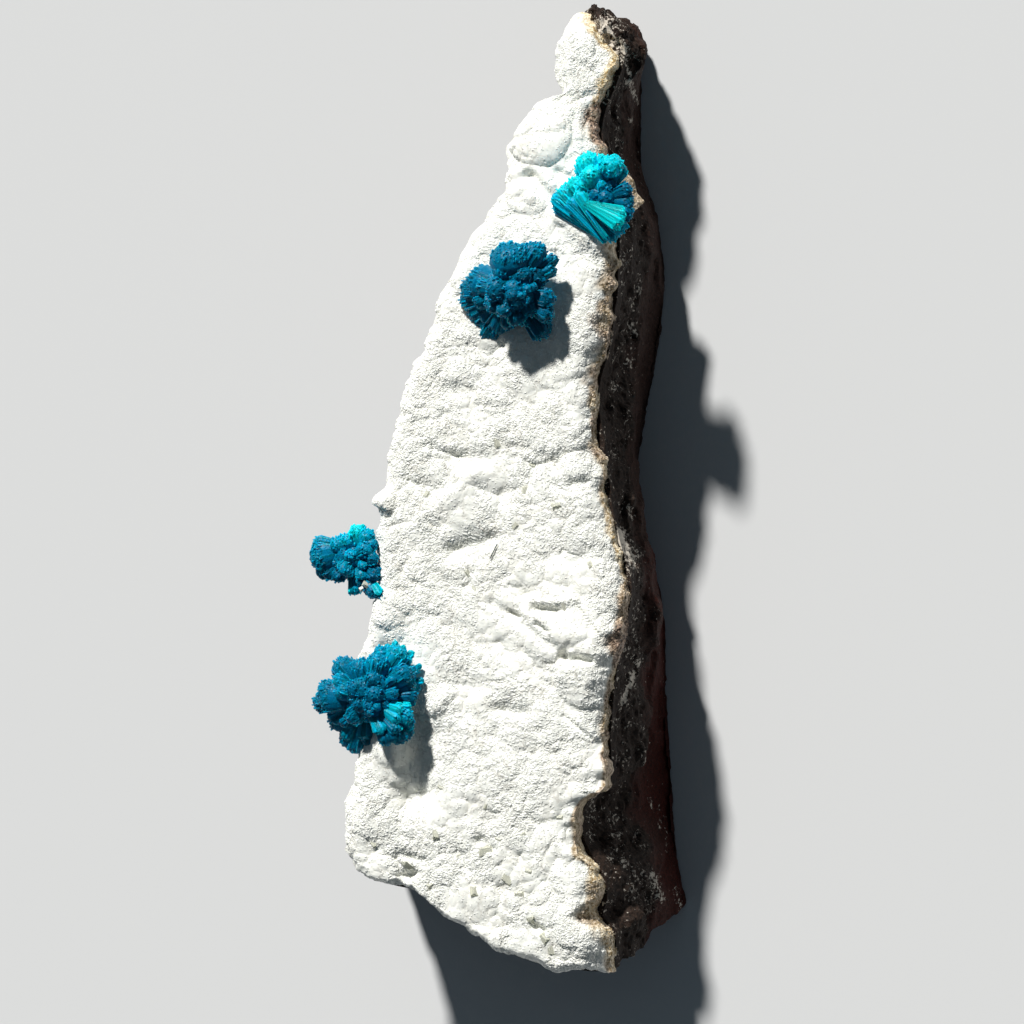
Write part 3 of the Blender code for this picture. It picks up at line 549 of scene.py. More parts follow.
def crust_shape(s, t, h):
    """The crust: lumpy above, flat below where it is sunk in the slab, round on its free sides.

    It is BROKEN_RIM high on its right border, and thickens inwards along a parabola.
    """
    x, y = between_outlines(CRUST_OUTLINE, s, t).T
    from_left, from_right = x - along_outline(LEFT_EDGE, t)[:, 0], broken_edge(s, t)
    from_wide, from_tip = y - along_outline(WIDE_END, s)[:, 1], along_outline(TIP_END, s)[:, 1] - y
    inward = np.minimum(from_left, np.minimum(WIDE_END_SHARPNESS * from_wide, from_tip))
    rolled = np.clip(1 - inward / ROUNDED_MARGIN, 0, 1) ** 2
    top = along_y(CRUST_THICKNESS, y)[0] + crust_relief(x, y) - ROUNDING * rolled
    rim = along_y(BROKEN_RIM, y)[0] * (1 + 0.3 * ripple(np.column_stack([y, 0 * y]), 1.3, 74))
    thin = np.clip(1 - from_right / RIM_MARGIN, 0, 1) ** 2
    top = top + (np.minimum(rim, top) - top) * thin
    z = along_y(SLAB_HEIGHT, y)[0] - SINK + (SINK + GAP + top) * h
    flat = np.column_stack([x, y])
    wander = sum(reach * ripple(flat, cell, seed) for cell, reach, seed in RAGGED)
    fade = [np.clip(1 - away / RAGGED_MARGIN, 0, 1) for away in (from_left, from_right, from_wide)]
    x = x + wander * fade[0] - (wander + BROKEN_AWAY) * fade[1]
    y = y + wander * fade[2]
    side = which_side(s)
    x = x + (side < 0) * LEFT_OVERHANG * (1 - h) * (1 - NOSE_HOLLOW * h)
    out, down = along_y(SHOULDER, y)
    slope = (side > 0) * (1 - h)
    return np.column_stack([x + out * slope, y, z - down * slope])


def broken_edge(s, t):
    """How far the crust's points are from its right border, before the border wanders."""
    x = between_outlines(CRUST_OUTLINE, s, t)[:, 0]
    return along_outline(RIGHT_EDGE, t)[:, 0] - x


def crumbly(points):
    """How crumbly the crust is, from 0 to 1: soft noise, and 0 in the smooth places."""
    flat = points[:, :2]
    amount = 0.5 + 0.9 * ripple(flat, CRUMBLE_CELL, 51) + 0.5 * ripple(flat, 1.9, 52)
    places = seen(points)
    for centre, radius in SMOOTH_PLACES:
        distance = np.linalg.norm(places - np.array(centre), axis=1)
        amount = amount - 1.2 * smooth_step(1.5 - distance / radius)
    return np.clip(amount, 0, 1)


def warped(points):
    """Points moved by soft noise along each axis, so that a pattern on them has no grid."""
    moves = [ripple(points, WARP_CELL, 40 + axis) for axis in range(3)]
    return points + WARP * np.stack(moves, axis=1)


def make_crust(material):
    """The zeolite crust: its shape, then strokes and ever finer knobs along its normals."""
    shares, quads, closing = box_skin(CRUST_CELLS, True)
    s, t, h = shares.T
    points = crust_shape(s, t, h)
    normals = outward(points, quads)
    free = smooth_step(h * 3)
    points[:, 2] += strokes(seen(points), STROKES) * free * (which_side(s) < 1)
    crumble = crumbly(points)
    # Crease shade: painted shade, greyer where the knobs meet in creases.
    crease_shade = np.zeros(len(points))
    for cell, height, seed in CRUMBS:
        fine = SMOOTH_SHARE + (1 - SMOOTH_SHARE) * crumble if cell < 1 else 0.8
        knob = knobs(warped(points), cell, seed)
        points = points + normals * (height * fine * (knob - 0.65) * free)[:, None]
        crease_shade = np.maximum(crease_shade, fine * smooth_step((0.52 - knob) * 4))
    normals = outward(points, quads)
    _, width, brown = along_y(BROKEN_RIM, points[:, 1])
    border = broken_edge(s, t)
    width = width * (1.1 + ripple(points, 1.1, 71))
    stain = smooth_step(1.3 - border / np.maximum(width, 0.1))
    stain = np.maximum(stain, 0.8 * smooth_step(1 - 3 * h) * (which_side(s) < 0))
    brown = np.clip(brown + 0.35 * ripple(points, 1.2, 72), 0, 1)
    shoulder = (which_side(s) > 0) * (np.abs(points[:, 1] - 29) < 4)
    stain = np.maximum(stain, (0.95 - 0.6 * smooth_step(points[:, 1] - 31.8)) * shoulder)
    brown = brown + (0.6 - brown) * shoulder
    shades = {"stain": stain, "brown": brown, "crease_shade": crease_shade}
    obj = new_piece("zeolite_bed", points, [quads] + closing, material, shades)
    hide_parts("zeolite_crust")
    return points, quads, normals, shades


def spread(points, quads, weight, count, rng):
    """Places on a skin, drawn evenly by area times weight: quad, share of each corner, place."""
    p = points[quads]
    area = np.linalg.norm(np.cross(p[:, 2] - p[:, 0], p[:, 3] - p[:, 1]), axis=1)
    reach = np.cumsum(area * weight[quads].mean(1))
    drawn = np.searchsorted(reach, rng.random(count) * reach[-1])
    a, b = rng.random((2, count))
    corner = np.stack([(1 - a) * (1 - b), a * (1 - b), a * b, (1 - a) * b], 1)
    return drawn, corner, (p[drawn] * corner[:, :, None]).sum(1)


def tilted(normals, most, rng):
    """Directions that lean from the normals at random, by up to this much of a unit."""
    return unit(normals + most * rng.uniform(-1, 1, normals.shape))


def repeated(points, quads, triangles):
    """Points and faces of many crystals, from the points of each and the faces of the first."""
    first = points.shape[1] * np.arange(len(points))[:, None, None]
    return points.reshape(-1, 3), [(first + np.array(quads)).reshape(-1, 4),
                                   (first + np.array(triangles)).reshape(-1, 3)]


def roof_crystals(places, up, run, length, width, height):
    """Roof-shaped crystals: a rectangle sunk in the bed, and a shorter ridge over its middle."""
    run = unit(run - (run * up).sum(1, keepdims=True) * up)
    beside = np.cross(up, run)
    corner = np.array([(-1, -1, -0.4), (1, -1, -0.4), (1, 1, -0.4), (-1, 1, -0.4),
                       (-0.6, 0, 1), (0.6, 0, 1)])
    half = np.stack([length / 2, width / 2, height], 1)
    size = corner[None] * half[:, None]
    points = (places[:, None] + size[..., :1] * run[:, None] + size[..., 1:2] * beside[:, None]
              + size[..., 2:] * up[:, None])
    return repeated(points, [(0, 1, 5, 4), (2, 3, 4, 5), (0, 3, 2, 1)], [(1, 2, 5), (3, 0, 4)])


def make_grains(crust, material):
    """Tens of thousands of small roof-shaped zeolite crystals, most of them where it is crumbly."""
    points, quads, normals, shades = crust
    crumble = crumbly(points)
    upward = normals[:, 2] > 0
    for piece in range(GRAIN_PIECES):
        rng = np.random.default_rng(200 + piece)
        drawn, corner, places = spread(points, quads, (0.15 + crumble) * upward, GRAINS, rng)
        own = quads[drawn]
        up = tilted(unit((normals[own] * corner[:, :, None]).sum(1)), 0.3, rng)
        run = rng.normal(size=(GRAINS, 3))
        size = rng.uniform(0.5, 1, GRAINS) * (0.8 + 0.5 * (crumble[own] * corner).sum(1))
        grown, faces = roof_crystals(places, up, run, 0.33 * size, 0.21 * size, 0.07 * size)
        taken = {name: np.repeat((shade[own] * corner).sum(1), 6) for name, shade in shades.items()}
        # The grains carry a weaker copy of the painted crease shade.
        taken["crease_shade"] = 0.3 * taken["crease_shade"]
        new_piece(f"zeolite_grains_{piece + 1}", grown, faces, material, taken)


def nearest_on_crust(crust, places):
    """The crust's upward-facing points that show nearest to given places, and their normals."""
    points, _, normals, _ = crust
    shown = np.where(normals[:, 2] > 0.5)[0]
    distance = ((seen(points[shown])[None] - np.array(places)[:, None]) ** 2).sum(2)
    own = shown[distance.argmin(1)]
    return points[own], normals[own]


def make_glassy(crust, material):
    """Larger, clear and faintly green zeolite crystals, half sunk in the crust."""
    rng = np.random.default_rng(301)
    listed = np.array(GLASSY)
    places, normals = nearest_on_crust(crust, listed[:, :2])
    perched = np.array(PERCHED)
    middle = np.array(LEFT_UPPER["centre"])
    places = np.vstack([places] + [middle + seen_to_slab(offset) for offset in perched[:, :3]])
    facing = [(math.sin(LEAN), 0, math.cos(LEAN))] * len(perched)
    normals = np.vstack([normals, facing])
    size = np.concatenate([1.4 * listed[:, 2], perched[:, 3]])
    grown, faces = roof_crystals(places, tilted(normals, 0.25, rng),
                                 rng.normal(size=places.shape), size, 0.75 * size, 0.18 * size)
    new_piece("glassy_zeolites", grown, faces, material)


def make_needle(crust, material):
    """One hair-thin cavansite crystal that lies on the crust."""
    places, _ = nearest_on_crust(crust, NEEDLE)
    places = places + np.array([0, 0, 0.25])
    width = np.array([0.09])
    points, faces = blade_mesh(places[:1], places[1:], np.array([[0, 0, 1]]), width, width,
                               width, np.array([0.8]))
    # The needle is painted bright, a painted glow as if light came through it.
    shade = np.full(len(points), 0.9)
    new_piece("cavansite_needle", points, faces, material,
              {"tone": shade, "reach": shade})


def flank_ridge(y, h):
    """How far the right flank stands out at its ridge and, less and less, above and below it."""
    ridge, crest = along_y(FLANK_RIDGE, y)
    return np.where(h > crest, (1 - h) / (1 - crest), h / crest) * ridge, crest


def basalt_shape(s, t, h):
    """The slab: from its foot outline up to the crust's outline, with broken, faceted sides."""
    top = between_outlines(STONE_OUTLINE, s, t)
    top[:, 0] += LEFT_OVERHANG * (1 - s)
    foot = between_outlines(FOOT_OUTLINE, s, t)
    x, y = (foot + (top - foot) * h[:, None]).T
    start, stop, rise = STONE_RISE
    bare = smooth_step((top[:, 1] - start) / (stop - start)) * smooth_step(3 * s - 1.5)
    z = (along_y(SLAB_HEIGHT, top[:, 1])[0] + rise * bare) * h
    side, end = which_side(s), which_side(t)
    out, crest = flank_ridge(y, h)
    x = x + (side > 0) * out
    x = x - (side < 0) * (h < LEDGE_TOP) * along_y(LEFT_LEDGE, y)[0]
    free = np.sin(math.pi * np.clip(h, 0, TOP_FADE))
    for width, depth, seed in FACETS:
        for part in (-1, 1):
            flank = facets(np.column_stack([y, z]), width, seed + part)
            x = x + (side == part) * part * free * depth * flank
            front = facets(np.column_stack([x, z]), width, seed + 10 + part)
            y = y + (end == part) * part * free * depth * front
    least, greatest = WORN_LIFT
    step = np.column_stack([np.floor(y / WORN_STEP), side])
    worn = least + (greatest - least) * scatter(step, WORN_SEED)
    z = np.where(np.isclose(h, 0) & ((side != 0) | (end != 0)), worn, z)
    return np.column_stack([x, y, z]), crest


def make_basalt(material):
    """The basalt slab: its shape, then hackly fracture along its normals."""
    shares, quads, _ = box_skin(BASALT_CELLS, False)
    s, t, h = shares.T
    points, crest = basalt_shape(s, t, h)
    normals = outward(points, quads)
    tip = smooth_step((points[:, 1] - 42.5) / 2.5) * smooth_step(3 * s - 1.5)
    free = np.maximum(smooth_step((1 - h) * 8), tip)
    side = which_side(s)
    band = smooth_step(0.5 + (h - crest) * 9 + 0.8 * ripple(points, 1.6, 96)) * (side > 0)
    band = np.maximum(band, np.isclose(h, 1))
    rough = free * (0.4 + 0.75 * band + 0.6 * tip)
    for cell, depth, seed in HACKLES:
        points = points + normals * (depth * rough * facets(points, cell, seed))[:, None]
    points[:, 2] = np.maximum(points[:, 2], 0)
    # Painted red bounce light: redder low down towards the wide end, as if lit from a red surface below.
    wide = smooth_step((2 - points[:, 1]) / 10)
    red_bounce = wide * smooth_step(1.2 - points[:, 2] / 11 + 0.4 * ripple(points, 4, 97))
    facing = (side > 0) | (which_side(t) > 0) | (tip > 0)
    upper = np.where(side > 0, 1, smooth_step(3 * h - 1.8))
    pale = np.clip(strokes(seen(points), PALE_MARKS), 0, 1) * facing * upper
    obj = new_piece("basalt_slab", points, [quads], material,
                    {"band": band, "red_bounce": red_bounce, "pale": pale})
    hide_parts("basalt_matrix")


def seen_to_slab(offset):
    """An offset as seen and its height as slab X, Y and Z: X is (right + Z sin) / cos of LEAN."""
    u, v, z = offset
    return np.array([(u + z * math.sin(LEAN)) / math.cos(LEAN), v, z])


def spray_frame(axis, turn):
    """Columns of a spray's own axes: its wide side, its flat side, which faces us, and its axis."""
    axis = unit(axis)
    facing = np.array([math.sin(LEAN), 0, math.cos(LEAN)])
    if abs(facing @ axis) > 0.9:
        facing = np.array([0, 1, 0])
    flat = unit(facing - (facing @ axis) * axis)
    wide = np.cross(flat, axis)
    angle = math.radians(turn)
    sine, cosine = math.sin(angle), math.cos(angle)
    return np.column_stack([cosine * wide + sine * flat, cosine * flat - sine * wide, axis])


def blade_mesh(root, tip, edge, width, thickness, chisel, share):
    """Blades: from a rectangle at the root, with a share of the width, to one of the full width.

    From there they taper over the chisel's length to an edge in the given rough direction.
    """
    axis = unit(tip - root)
    edge = unit(edge - (edge * axis).sum(1, keepdims=True) * axis)
    beside = np.cross(axis, edge)
    shoulder = tip - axis * chisel[:, None]
    a, b = edge * width[:, None] / 2, beside * thickness[:, None] / 2
    turns = [(1, 1), (-1, 1), (-1, -1), (1, -1)]
    low = [root + share[:, None] * (k * a + m * b) for k, m in turns]
    high = [shoulder + k * a + m * b for k, m in turns]
    points = np.stack(low + high + [tip + 0.7 * a, tip - 0.7 * a], 1)
    quads = [(0, 1, 5, 4), (1, 2, 6, 5), (2, 3, 7, 6), (3, 0, 4, 7), (3, 2, 1, 0), (4, 5, 9, 8),
             (6, 7, 8, 9)]
    return repeated(points, quads, [(7, 4, 8), (5, 6, 9)])


def closed_rings(rings, first, last):
    """A closed surface through rings, anticlockwise as seen from the last of its two poles."""
    count, sides = rings.shape[:2]
    points = np.vstack([rings.reshape(-1, 3), first, last])
    ring, side = every_pair(count - 1, sides)
    low, ahead = ring * sides, (side + 1) % sides
    quads = np.stack([low + side, low + ahead, low + sides + ahead, low + sides + side], 1)
    side = np.arange(sides)
    ahead = (side + 1) % sides
    over = (count - 1) * sides
    below = np.stack([np.full(sides, count * sides), ahead, side], 1)
    above = np.stack([np.full(sides, count * sides + 1), over + side, over + ahead], 1)
    return points, [quads, np.vstack([below, above])]


def nodules(ball, radius, seed):
    """How far the gathered crystals of a dome stand out, for directions from its centre."""
    lift = np.zeros(len(ball))
    for spacing, height in NODULES:
        cell = min(spacing, spacing * (0.3 + 0.5 * radius))
        lift = lift + height * cell / spacing * (knobs(ball * radius + 50, cell, seed) - 0.7)
    return lift


def on_ball(cosine, around):
    """Unit vectors from the cosine of the angle to Z and the angle round it."""
    sine = np.sqrt(1 - cosine ** 2)
    return np.stack([sine * np.cos(around), sine * np.sin(around), cosine * np.ones_like(sine)], -1)


def golden_spiral(count, lowest, sway=0):
    """Unit vectors spread evenly, in a golden spiral, from Z itself to where their Z is lowest."""
    index = np.arange(count)
    around = index * math.pi * (3 - math.sqrt(5)) + sway
    return on_ball(1 - (1 - lowest) * (index + 0.5) / count, around)


def spray_body(root_at, dome_at, own, radius, glow, flat, share, seed):
    """The solid heart of a spray: a knobbly dome, and a cone from its rim to its root."""
    sides, rings = (int(least + more * radius) for least, more in (BODY_SIDES, BODY_RINGS))
    ring, side = every_pair(rings, sides)
    ball = on_ball(np.sin(0.5 * np.pi * ring / rings), 2 * np.pi * side / sides)
    lift = nodules(ball, radius, seed)
    dome = dome_at + (ball * np.array([1, flat, 1]) * (radius + lift - BODY_SUNK)[:, None]) @ own.T
    dome = dome.reshape(rings, sides, 3)
    foot = root_at + (dome[0] - dome_at) * share
    steps = np.arange(CONE_RINGS)[:, None, None] / CONE_RINGS
    stack = np.vstack([foot + (dome[0] - foot) * steps, dome])
    points, faces = closed_rings(stack, root_at, dome_at + own[:, 2] * radius)
    out = np.repeat(share + (1 - share) * np.arange(CONE_RINGS) / CONE_RINGS, sides)
    out = np.concatenate([out, np.ones(rings * sides), [share, 1]])
    lift = np.concatenate([np.tile(lift[:sides], CONE_RINGS), lift, [0, 0]])
    axis = [(0, 0, -1), (0, 0, 1)]
    rounded = np.vstack([np.tile(ball[:sides], (CONE_RINGS, 1)), ball, axis]) @ own.T
    # Tone: painted glow, painted lighter where nodules stand out and darker, as painted shade, where they
    # sink.
    shades = {"tone": glow + 0.4 * lift, "reach": np.maximum(out, glow), "rounded": rounded,
              "glint": np.zeros(len(points))}
    return points, faces, shades, True


def grow_spray(dome_at, root_at, radius, glow, flat, share, turn, rng):
    """A spray: its body, and the blades that fan out from its root and end on its dome.

    Their ends follow a golden spiral over the flattened dome, down to its rim if the root is
    wide. Knobs gather them in nodules, and their edges turn slowly from blade to blade. Their tone is
    painted light and shade: lighter where nodules and blades stand out, darker where they sink, with a
    little random tint. A spray that glows is painted bright down to its root; others are painted
    darker towards the root, as shade deep in the rosette.
    """
    own = spray_frame(dome_at - root_at, turn)
    seed = int(rng.integers(1000))
    body = spray_body(root_at, dome_at, own, radius, glow, flat, share, seed)
    count = max(10, int(BLADE_DENSITY * radius * radius * (0.3 + 0.7 * flat)))
    lowest = 0.03 if share >= WIDE_ROOT else 0.28
    ball = golden_spiral(count, lowest, rng.uniform(-0.3, 0.3, count))
    squeezed = ball * np.array([1, flat, 1])
    lift = nodules(ball, radius, seed)
    least, most = BLADE_REACH
    size = 0.5 + 0.5 * min(1, radius / 1.2)
    stands = size * (least + (most - least) * rng.random(count) ** 4)
    tip = dome_at + (squeezed * (radius + lift + stands)[:, None]) @ own.T
    start = root_at + (squeezed * np.array([1, 1, 0]) * radius * share) @ own.T
    edge = np.column_stack([ripple(ball + 9, 0.8, seed + k) for k in range(3)])
    edge = edge + 0.25 * rng.normal(size=edge.shape)
    width = size * rng.uniform(*BLADE_WIDTH, count)
    thickness = size * rng.uniform(*BLADE_THICKNESS, count)
    chisel = size * rng.uniform(*CHISEL, count)
    points, faces = blade_mesh(start, tip, edge, width, thickness, chisel, np.full(count, share))
    # Painted light and shade: blades that stand out are painted lighter, sunken ones darker, with a little
    # random tint.
    tone = glow + 0.4 * lift + 0.5 * stands + 0.04 * rng.normal(size=count)
    # Reach: a glowing spray is painted bright down to its root, others darker towards it as painted shade.
    out = np.maximum(np.tile([share] * 4 + [1] * 6, count), glow)
    shades = {"tone": np.repeat(tone, 10), "reach": out,
              "rounded": np.repeat(ball @ own.T, 10, axis=0),
              "glint": np.repeat(rng.random(count) < GLINTS, 10)}
    return [body, (points, faces, shades, False)]


def joined(parts):
    """One set of points, faces, shades and smooth flags from several."""
    points, faces, shades, smooth = zip(*parts)
    first = np.cumsum([0] + [len(part) for part in points])
    return (np.vstack(points), [face + start for part, start in zip(faces, first) for face in part],
            {name: np.concatenate([shade[name] for shade in shades]) for name in shades[0]},
            [flag for part, flag in zip(faces, smooth) for _ in part])


def make_rosette(name, rosette, material):
    """A rosette: a filling of dark sprays in a golden spiral, and its own sprays over it."""
    rng = np.random.default_rng(rosette["seed"])
    middle = np.array(rosette["centre"])
    moved, reach, radius, count = rosette["filling"]
    heart = middle + seen_to_slab(moved)
    parts = []
    # The filling sprays take FILLING_GLOW: painted dark, as shade deep between the sprays.
    for way in golden_spiral(count, FILLING_LOWEST):
        parts += grow_spray(heart + reach * way, heart - 0.5 * way, radius, FILLING_GLOW, 0.9,
                            0.35, 0, rng)
    least, more = rosette["shine"]
    for row in rosette["sprays"]:
        dome, radius, glow, flat, root, share, turn = spray(*row)
        parts += grow_spray(middle + seen_to_slab(dome), middle + seen_to_slab(root), radius,
                            least + more * glow, flat, share, turn, rng)
    points, faces, shades, smooth = joined(parts)
    obj = new_piece(name + "_crystals", points, faces, material, shades, smooth)
    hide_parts(name)


def linear(colour):
    """An sRGB hex colour as linear red, green, blue and alpha."""
    channels = [int(colour[k:k + 2], 16) / 255 for k in (0, 2, 4)]
    return tuple(((c + 0.055) / 1.055) ** 2.4 if c > 0.04045 else c / 12.92
                 for c in channels) + (1,)


def fill(tree, node, inputs):
    """Fill a node's inputs: link other nodes' outputs, and set plain values and hex colours."""
    for key, value in inputs.items():
        if isinstance(value, bpy.types.NodeSocket):
            tree.links.new(value, node.inputs[key])
        else:
            node.inputs[key].default_value = linear(value) if isinstance(value, str) else value


def add(tree, kind, inputs=None, output=0, **settings):
    """Add a node with its settings and inputs, and give the output that is wanted."""
    node = tree.nodes.new("ShaderNode" + kind)
    for key, value in settings.items():
        setattr(node, key, value)
    fill(tree, node, inputs or {})
    return node.outputs[output]


def bare_material(name):
    """A material, a function that adds a node to it, and one that fills its shader's inputs."""
    material = bpy.data.materials.new(name)
    material.use_nodes = True
    tree = material.node_tree
    return material, partial(add, tree), partial(fill, tree, tree.nodes["Principled BSDF"])


def zeolite_druse():
    """Zeolite druse, grown as a crust of tiny white crystals: bright, pearly and faintly warm.

    It is stained by iron where it is broken, from cream to brown, as its attributes say. It is also
    painted with shade: greyer in the creases between its knobs, and thin grey-brown lines between
    crystals.
    """
    material, node, finish = bare_material("zeolite_druse")
    place = node("TexCoord", output="Object")
    stain, brown, crease_shade = (node("Attribute", output="Fac", attribute_name=name)
                             for name in ("stain", "brown", "crease_shade"))
    mottle, crumb = (node("TexNoise", {"Vector": place, "Scale": scale, "Detail": detail})
                     for scale, detail in ((350, 3), (3200, 2)))
    # Thin grey-brown lines along the edges of warped cells: painted shade between crystals.
    bent = node("TexNoise", {"Vector": place, "Scale": 900, "Detail": 2}, "Color")
    moved = node("VectorMath", {0: bent, 1: (0.0016,) * 3, 2: place}, operation="MULTIPLY_ADD")
    painted_edges = node("TexVoronoi", {"Vector": moved, "Scale": 420}, feature="DISTANCE_TO_EDGE")
    narrow = node("MapRange", {"Value": painted_edges, "From Max": 0.05, "To Min": 1, "To Max": 0})
    some = node("MapRange", {"Value": mottle, "From Min": 0.48, "From Max": 0.58, "To Max": 0.45})
    line = node("Math", {0: narrow, 1: some}, operation="MULTIPLY")
    white = "F1F2EC"
    # Mottle is a real tint; line and the crease attribute are painted shade.
    for share, tint in ((mottle, "E9EAE3"), (line, "A39A8C"), (crease_shade, "EDECE4")):
        white = node("Mix", {0: share, 6: white, 7: tint}, 2, data_type="RGBA")
    speck = node("MapRange", {"Value": crumb, "From Min": 0.38, "From Max": 0.62})
    cream, iron = (node("Mix", {0: speck, 6: dark, 7: light}, 2, data_type="RGBA")
                   for dark, light in (("B79C6A", "F2E9CE"), ("34241B", "BFA48E")))
    tan = node("Mix", {0: brown, 6: cream, 7: iron}, 2, data_type="RGBA")
    colour = node("Mix", {0: stain, 6: white, 7: tan}, 2, data_type="RGBA")
    bump = node("Bump", {"Strength": 0.35, "Distance": 0.00006, "Height": crumb})
    finish({"Base Color": colour, "Normal": bump, "Roughness": 0.5, "IOR": 1.5,
            "Subsurface Weight": 0.2, "Subsurface Radius": (1, 1, 0.9),
            "Subsurface Scale": 0.0003})
    return material


def glassy_zeolite():
    """Clear zeolite crystals with a faint grey-green tint: glassy, and see-through."""
    material, node, finish = bare_material("glassy_zeolite")
    cloud = node("TexNoise", {"Vector": node("TexCoord", output="Object"), "Scale": 1500})
    colour = node("Mix", {0: cloud, 6: "DCDDCB", 7: "ECECE0"}, 2, data_type="RGBA")
    finish({"Base Color": colour, "Transmission Weight": 0.5, "Roughness": 0.15, "IOR": 1.5})
    return material


def broken_basalt():
    """Basalt, broken by hammer and frost: dark brown-black, dull, with pale specks.

    The band attribute is the blacker, coarser break next to the crust, whose clusters of pale flecks
    are partly pale specks and partly painted glints. Rust is painted red bounce light: the slab is
    painted redder low down towards its wide end, as if lit from a red surface below. Pale is where
    white minerals fleck the break.
    """
    material, node, finish = bare_material("broken_basalt")
    place = node("TexCoord", output="Object")
    band, red_bounce, marked = (node("Attribute", output="Fac", attribute_name=name)
                          for name in ("band", "red_bounce", "pale"))
    grain, speck, clusters = (
        node("TexNoise", {"Vector": place, "Scale": scale, "Detail": detail, "Roughness": rough})
        for scale, detail, rough in ((3600, 4, 0.75), (2600, 3, 0.7), (420, 1, 0.5)))
    sharp = node("MapRange", {"Value": grain, "From Min": 0.35, "From Max": 0.68})
    # The second pair of colours is the painted red bounce.
    colour, bounce_red, black = (
        node("Mix", {0: sharp, 6: dark, 7: light}, 2, data_type="RGBA")
        for dark, light in (("140A07", "432C24"), ("1C0401", "4A170C"), ("010101", "3C2E26")))
    # In the band, clusters of pale flecks are added: partly pale specks, partly painted glints.
    where = node("MapRange", {"Value": clusters, "From Min": 0.4, "From Max": 0.65, "To Max": 0.13})
    flecks_and_glints = node("Math", {0: band, 1: where}, operation="MULTIPLY")
    added = node("Math", {0: marked, 1: 0.22, 2: flecks_and_glints}, operation="MULTIPLY_ADD")
    summed = node("Math", {0: speck, 1: added}, operation="ADD")
    pale = node("MapRange", {"Value": summed, "From Min": 0.68, "From Max": 0.76})
    for share, layer in ((red_bounce, bounce_red), (band, black), (pale, "C6BEB2")):
        colour = node("Mix", {0: share, 6: colour, 7: layer}, 2, data_type="RGBA")
    bump = node("Bump", {"Strength": 0.9, "Distance": 0.0001, "Height": grain})
    finish({"Base Color": colour, "Normal": bump, "Roughness": 0.7, "Specular IOR Level": 0.15})
    return material


def cavansite_crystal():
    """Cavansite, grown as glassy blue prisms: deep teal in the mass, paler at the thin ends.

    The paler ends and the deeper mass are painted light and shade. Tone is painted light: how much
    light comes through a blade and how lit its spray is, with a little random tint. Reach runs from
    its root to its end, and the root end is painted deep teal as shade deep in the rosette. Light
    wanders a little way through the crystal, and the faces are shaded partly as if they faced the
    way of the whole rounded spray. Glint is 1 on the few blades whose clean faces flash.
    """
    material, node, finish = bare_material("cavansite_crystal")
    tone, reach, glint = (node("Attribute", output="Fac", attribute_name=name)
                          for name in ("tone", "reach", "glint"))
    light = node("ValToRGB", {"Fac": tone})
    # Painted light: a low tone gives deep teal, a high one the bright cyan of light coming through.
    stops = [(0, "004A66"), (0.3, "007298"), (0.6, "00A2CC"), (1, "06DEFF")]
    elements = light.node.color_ramp.elements
    for stop, _ in stops[1:-1]:
        elements.new(stop)
    for element, (stop, colour) in zip(elements, stops):
        element.position, element.color = stop, linear(colour)
    # Painted shade: towards the root, the colour goes to deep teal.
    colour = node("Mix", {0: reach, 6: "005670", 7: light}, 2, data_type="RGBA")
    ends = node("TexVoronoi", {"Vector": node("TexCoord", output="Object"), "Scale": 4500})
    rounded = node("Attribute", output="Vector", attribute_name="rounded")
    turned = node("VectorTransform", {"Vector": rounded}, vector_type="NORMAL",
                  convert_from="OBJECT", convert_to="WORLD")
    facing = node("NewGeometry", output="Normal")
    softer = node("VectorMath", {0: turned, 1: (0.5,) * 3, 2: facing}, operation="MULTIPLY_ADD")
    softer = node("VectorMath", {0: softer}, operation="NORMALIZE")
    bump = node("Bump", {"Strength": 0.6, "Distance": 0.00005, "Height": ends, "Normal": softer})
    finish({"Base Color": colour, "Normal": bump, "Roughness": 0.35, "IOR": 1.5,
            "Specular IOR Level": 0.08, "Coat Weight": glint, "Coat Roughness": 0.12,
            "Subsurface Weight": 0.9, "Subsurface Radius": (0.1, 0.5, 0.6),
            "Subsurface Scale": 0.0007})
    return material


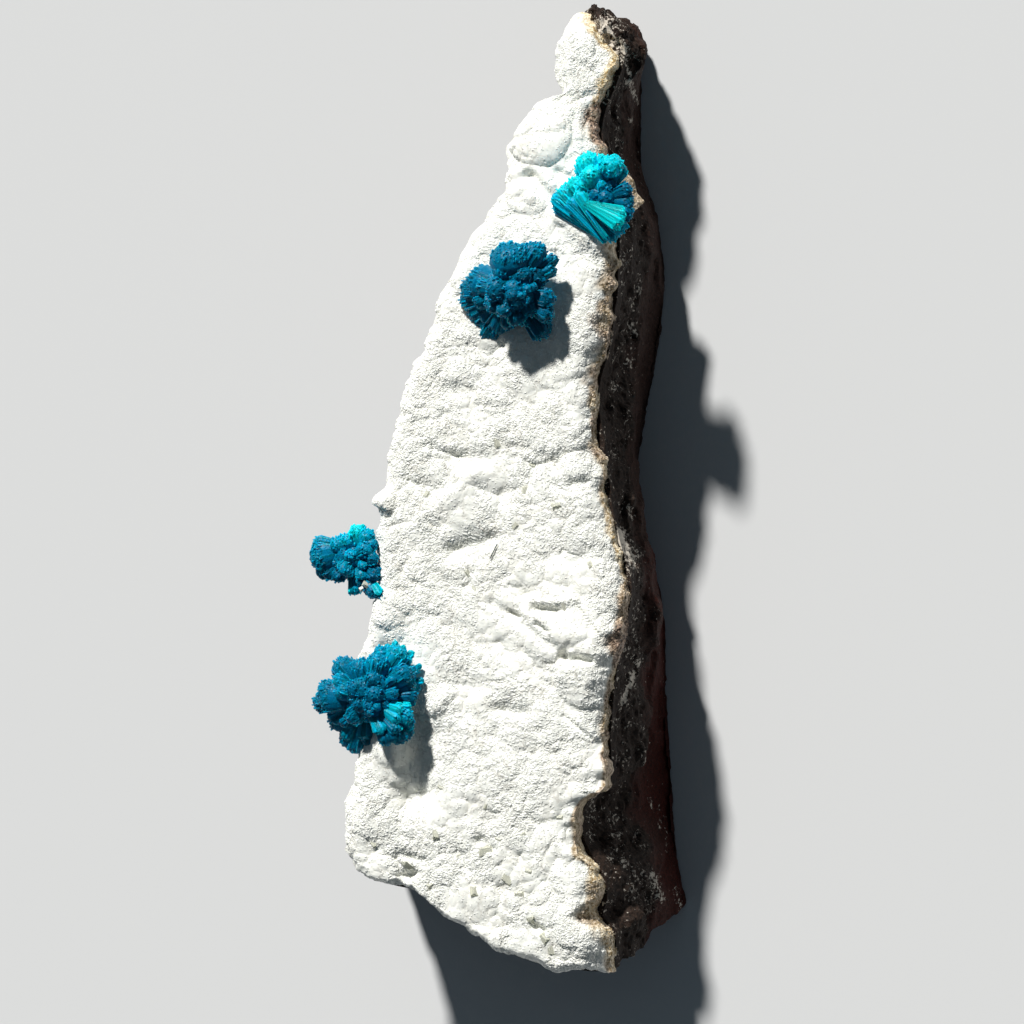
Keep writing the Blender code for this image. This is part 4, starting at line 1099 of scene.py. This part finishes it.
def make_camera():
    """The photograph's view: from above, leaning LEAN towards the slab's right."""
    turned = Matrix.Rotation(LEAN, 4, "Y")
    aim = Vector((0, 0, VIEW_HEIGHT)) - Vector(MIDDLE)
    data = bpy.data.cameras.new("camera")
    data.sensor_width = SENSOR
    data.lens = SENSOR * VIEW_SCALE * VIEW_DISTANCE / IMAGE_SIDE
    data.clip_start = 0.05
    camera = bpy.data.objects.new("camera", data)
    bpy.context.scene.collection.objects.link(camera)
    eye = aim + turned @ Vector((*VIEW_MIDDLE, VIEW_DISTANCE))
    camera.matrix_world = Matrix.Translation(eye * MM) @ turned
    bpy.context.scene.camera = camera


def make_studio():
    """A pale floor, a soft key light from the upper left, and an even pale fill."""
    mesh = bpy.data.meshes.new("floor")
    side = 1.5
    mesh.from_pydata([(-side, -side, 0), (side, -side, 0), (side, side, 0), (-side, side, 0)], [],
                     [(0, 1, 2, 3)])
    material, _, finish = bare_material("pale_floor")
    finish({"Base Color": "C9CACB", "Roughness": 0.8})
    mesh.materials.append(material)
    floor = bpy.data.objects.new("floor", mesh)
    bpy.context.scene.collection.objects.link(floor)
    key = bpy.data.lights.new("key", "SUN")
    key.energy = 5.9
    key.angle = math.radians(4)
    key.color = linear("FFFDF9")[:3]
    lamp = bpy.data.objects.new("key", key)
    lamp.rotation_euler = Vector((-0.18, 0.77, 0.61)).to_track_quat("Z", "Y").to_euler()
    bpy.context.scene.collection.objects.link(lamp)
    world = bpy.data.worlds.new("studio")
    world.use_nodes = True
    tree = world.node_tree
    fill(tree, tree.nodes["Background"], {"Color": "C4DCEE", "Strength": 0.11})
    bpy.context.scene.world = world
    bpy.context.scene.view_settings.view_transform = "Standard"


def main():
    """Dress the specimen and set up its view."""
    make_camera()
    make_studio()
    druse = zeolite_druse()
    crust = make_crust(druse)
    make_grains(crust, druse)
    make_glassy(crust, glassy_zeolite())
    make_basalt(broken_basalt())
    blue = cavansite_crystal()
    make_needle(crust, blue)
    for name, rosette in (("top_right", TOP_RIGHT), ("upper", UPPER), ("left_upper", LEFT_UPPER),
                          ("left_lower", LEFT_LOWER)):
        make_rosette("cavansite_" + name, rosette, blue)


main()
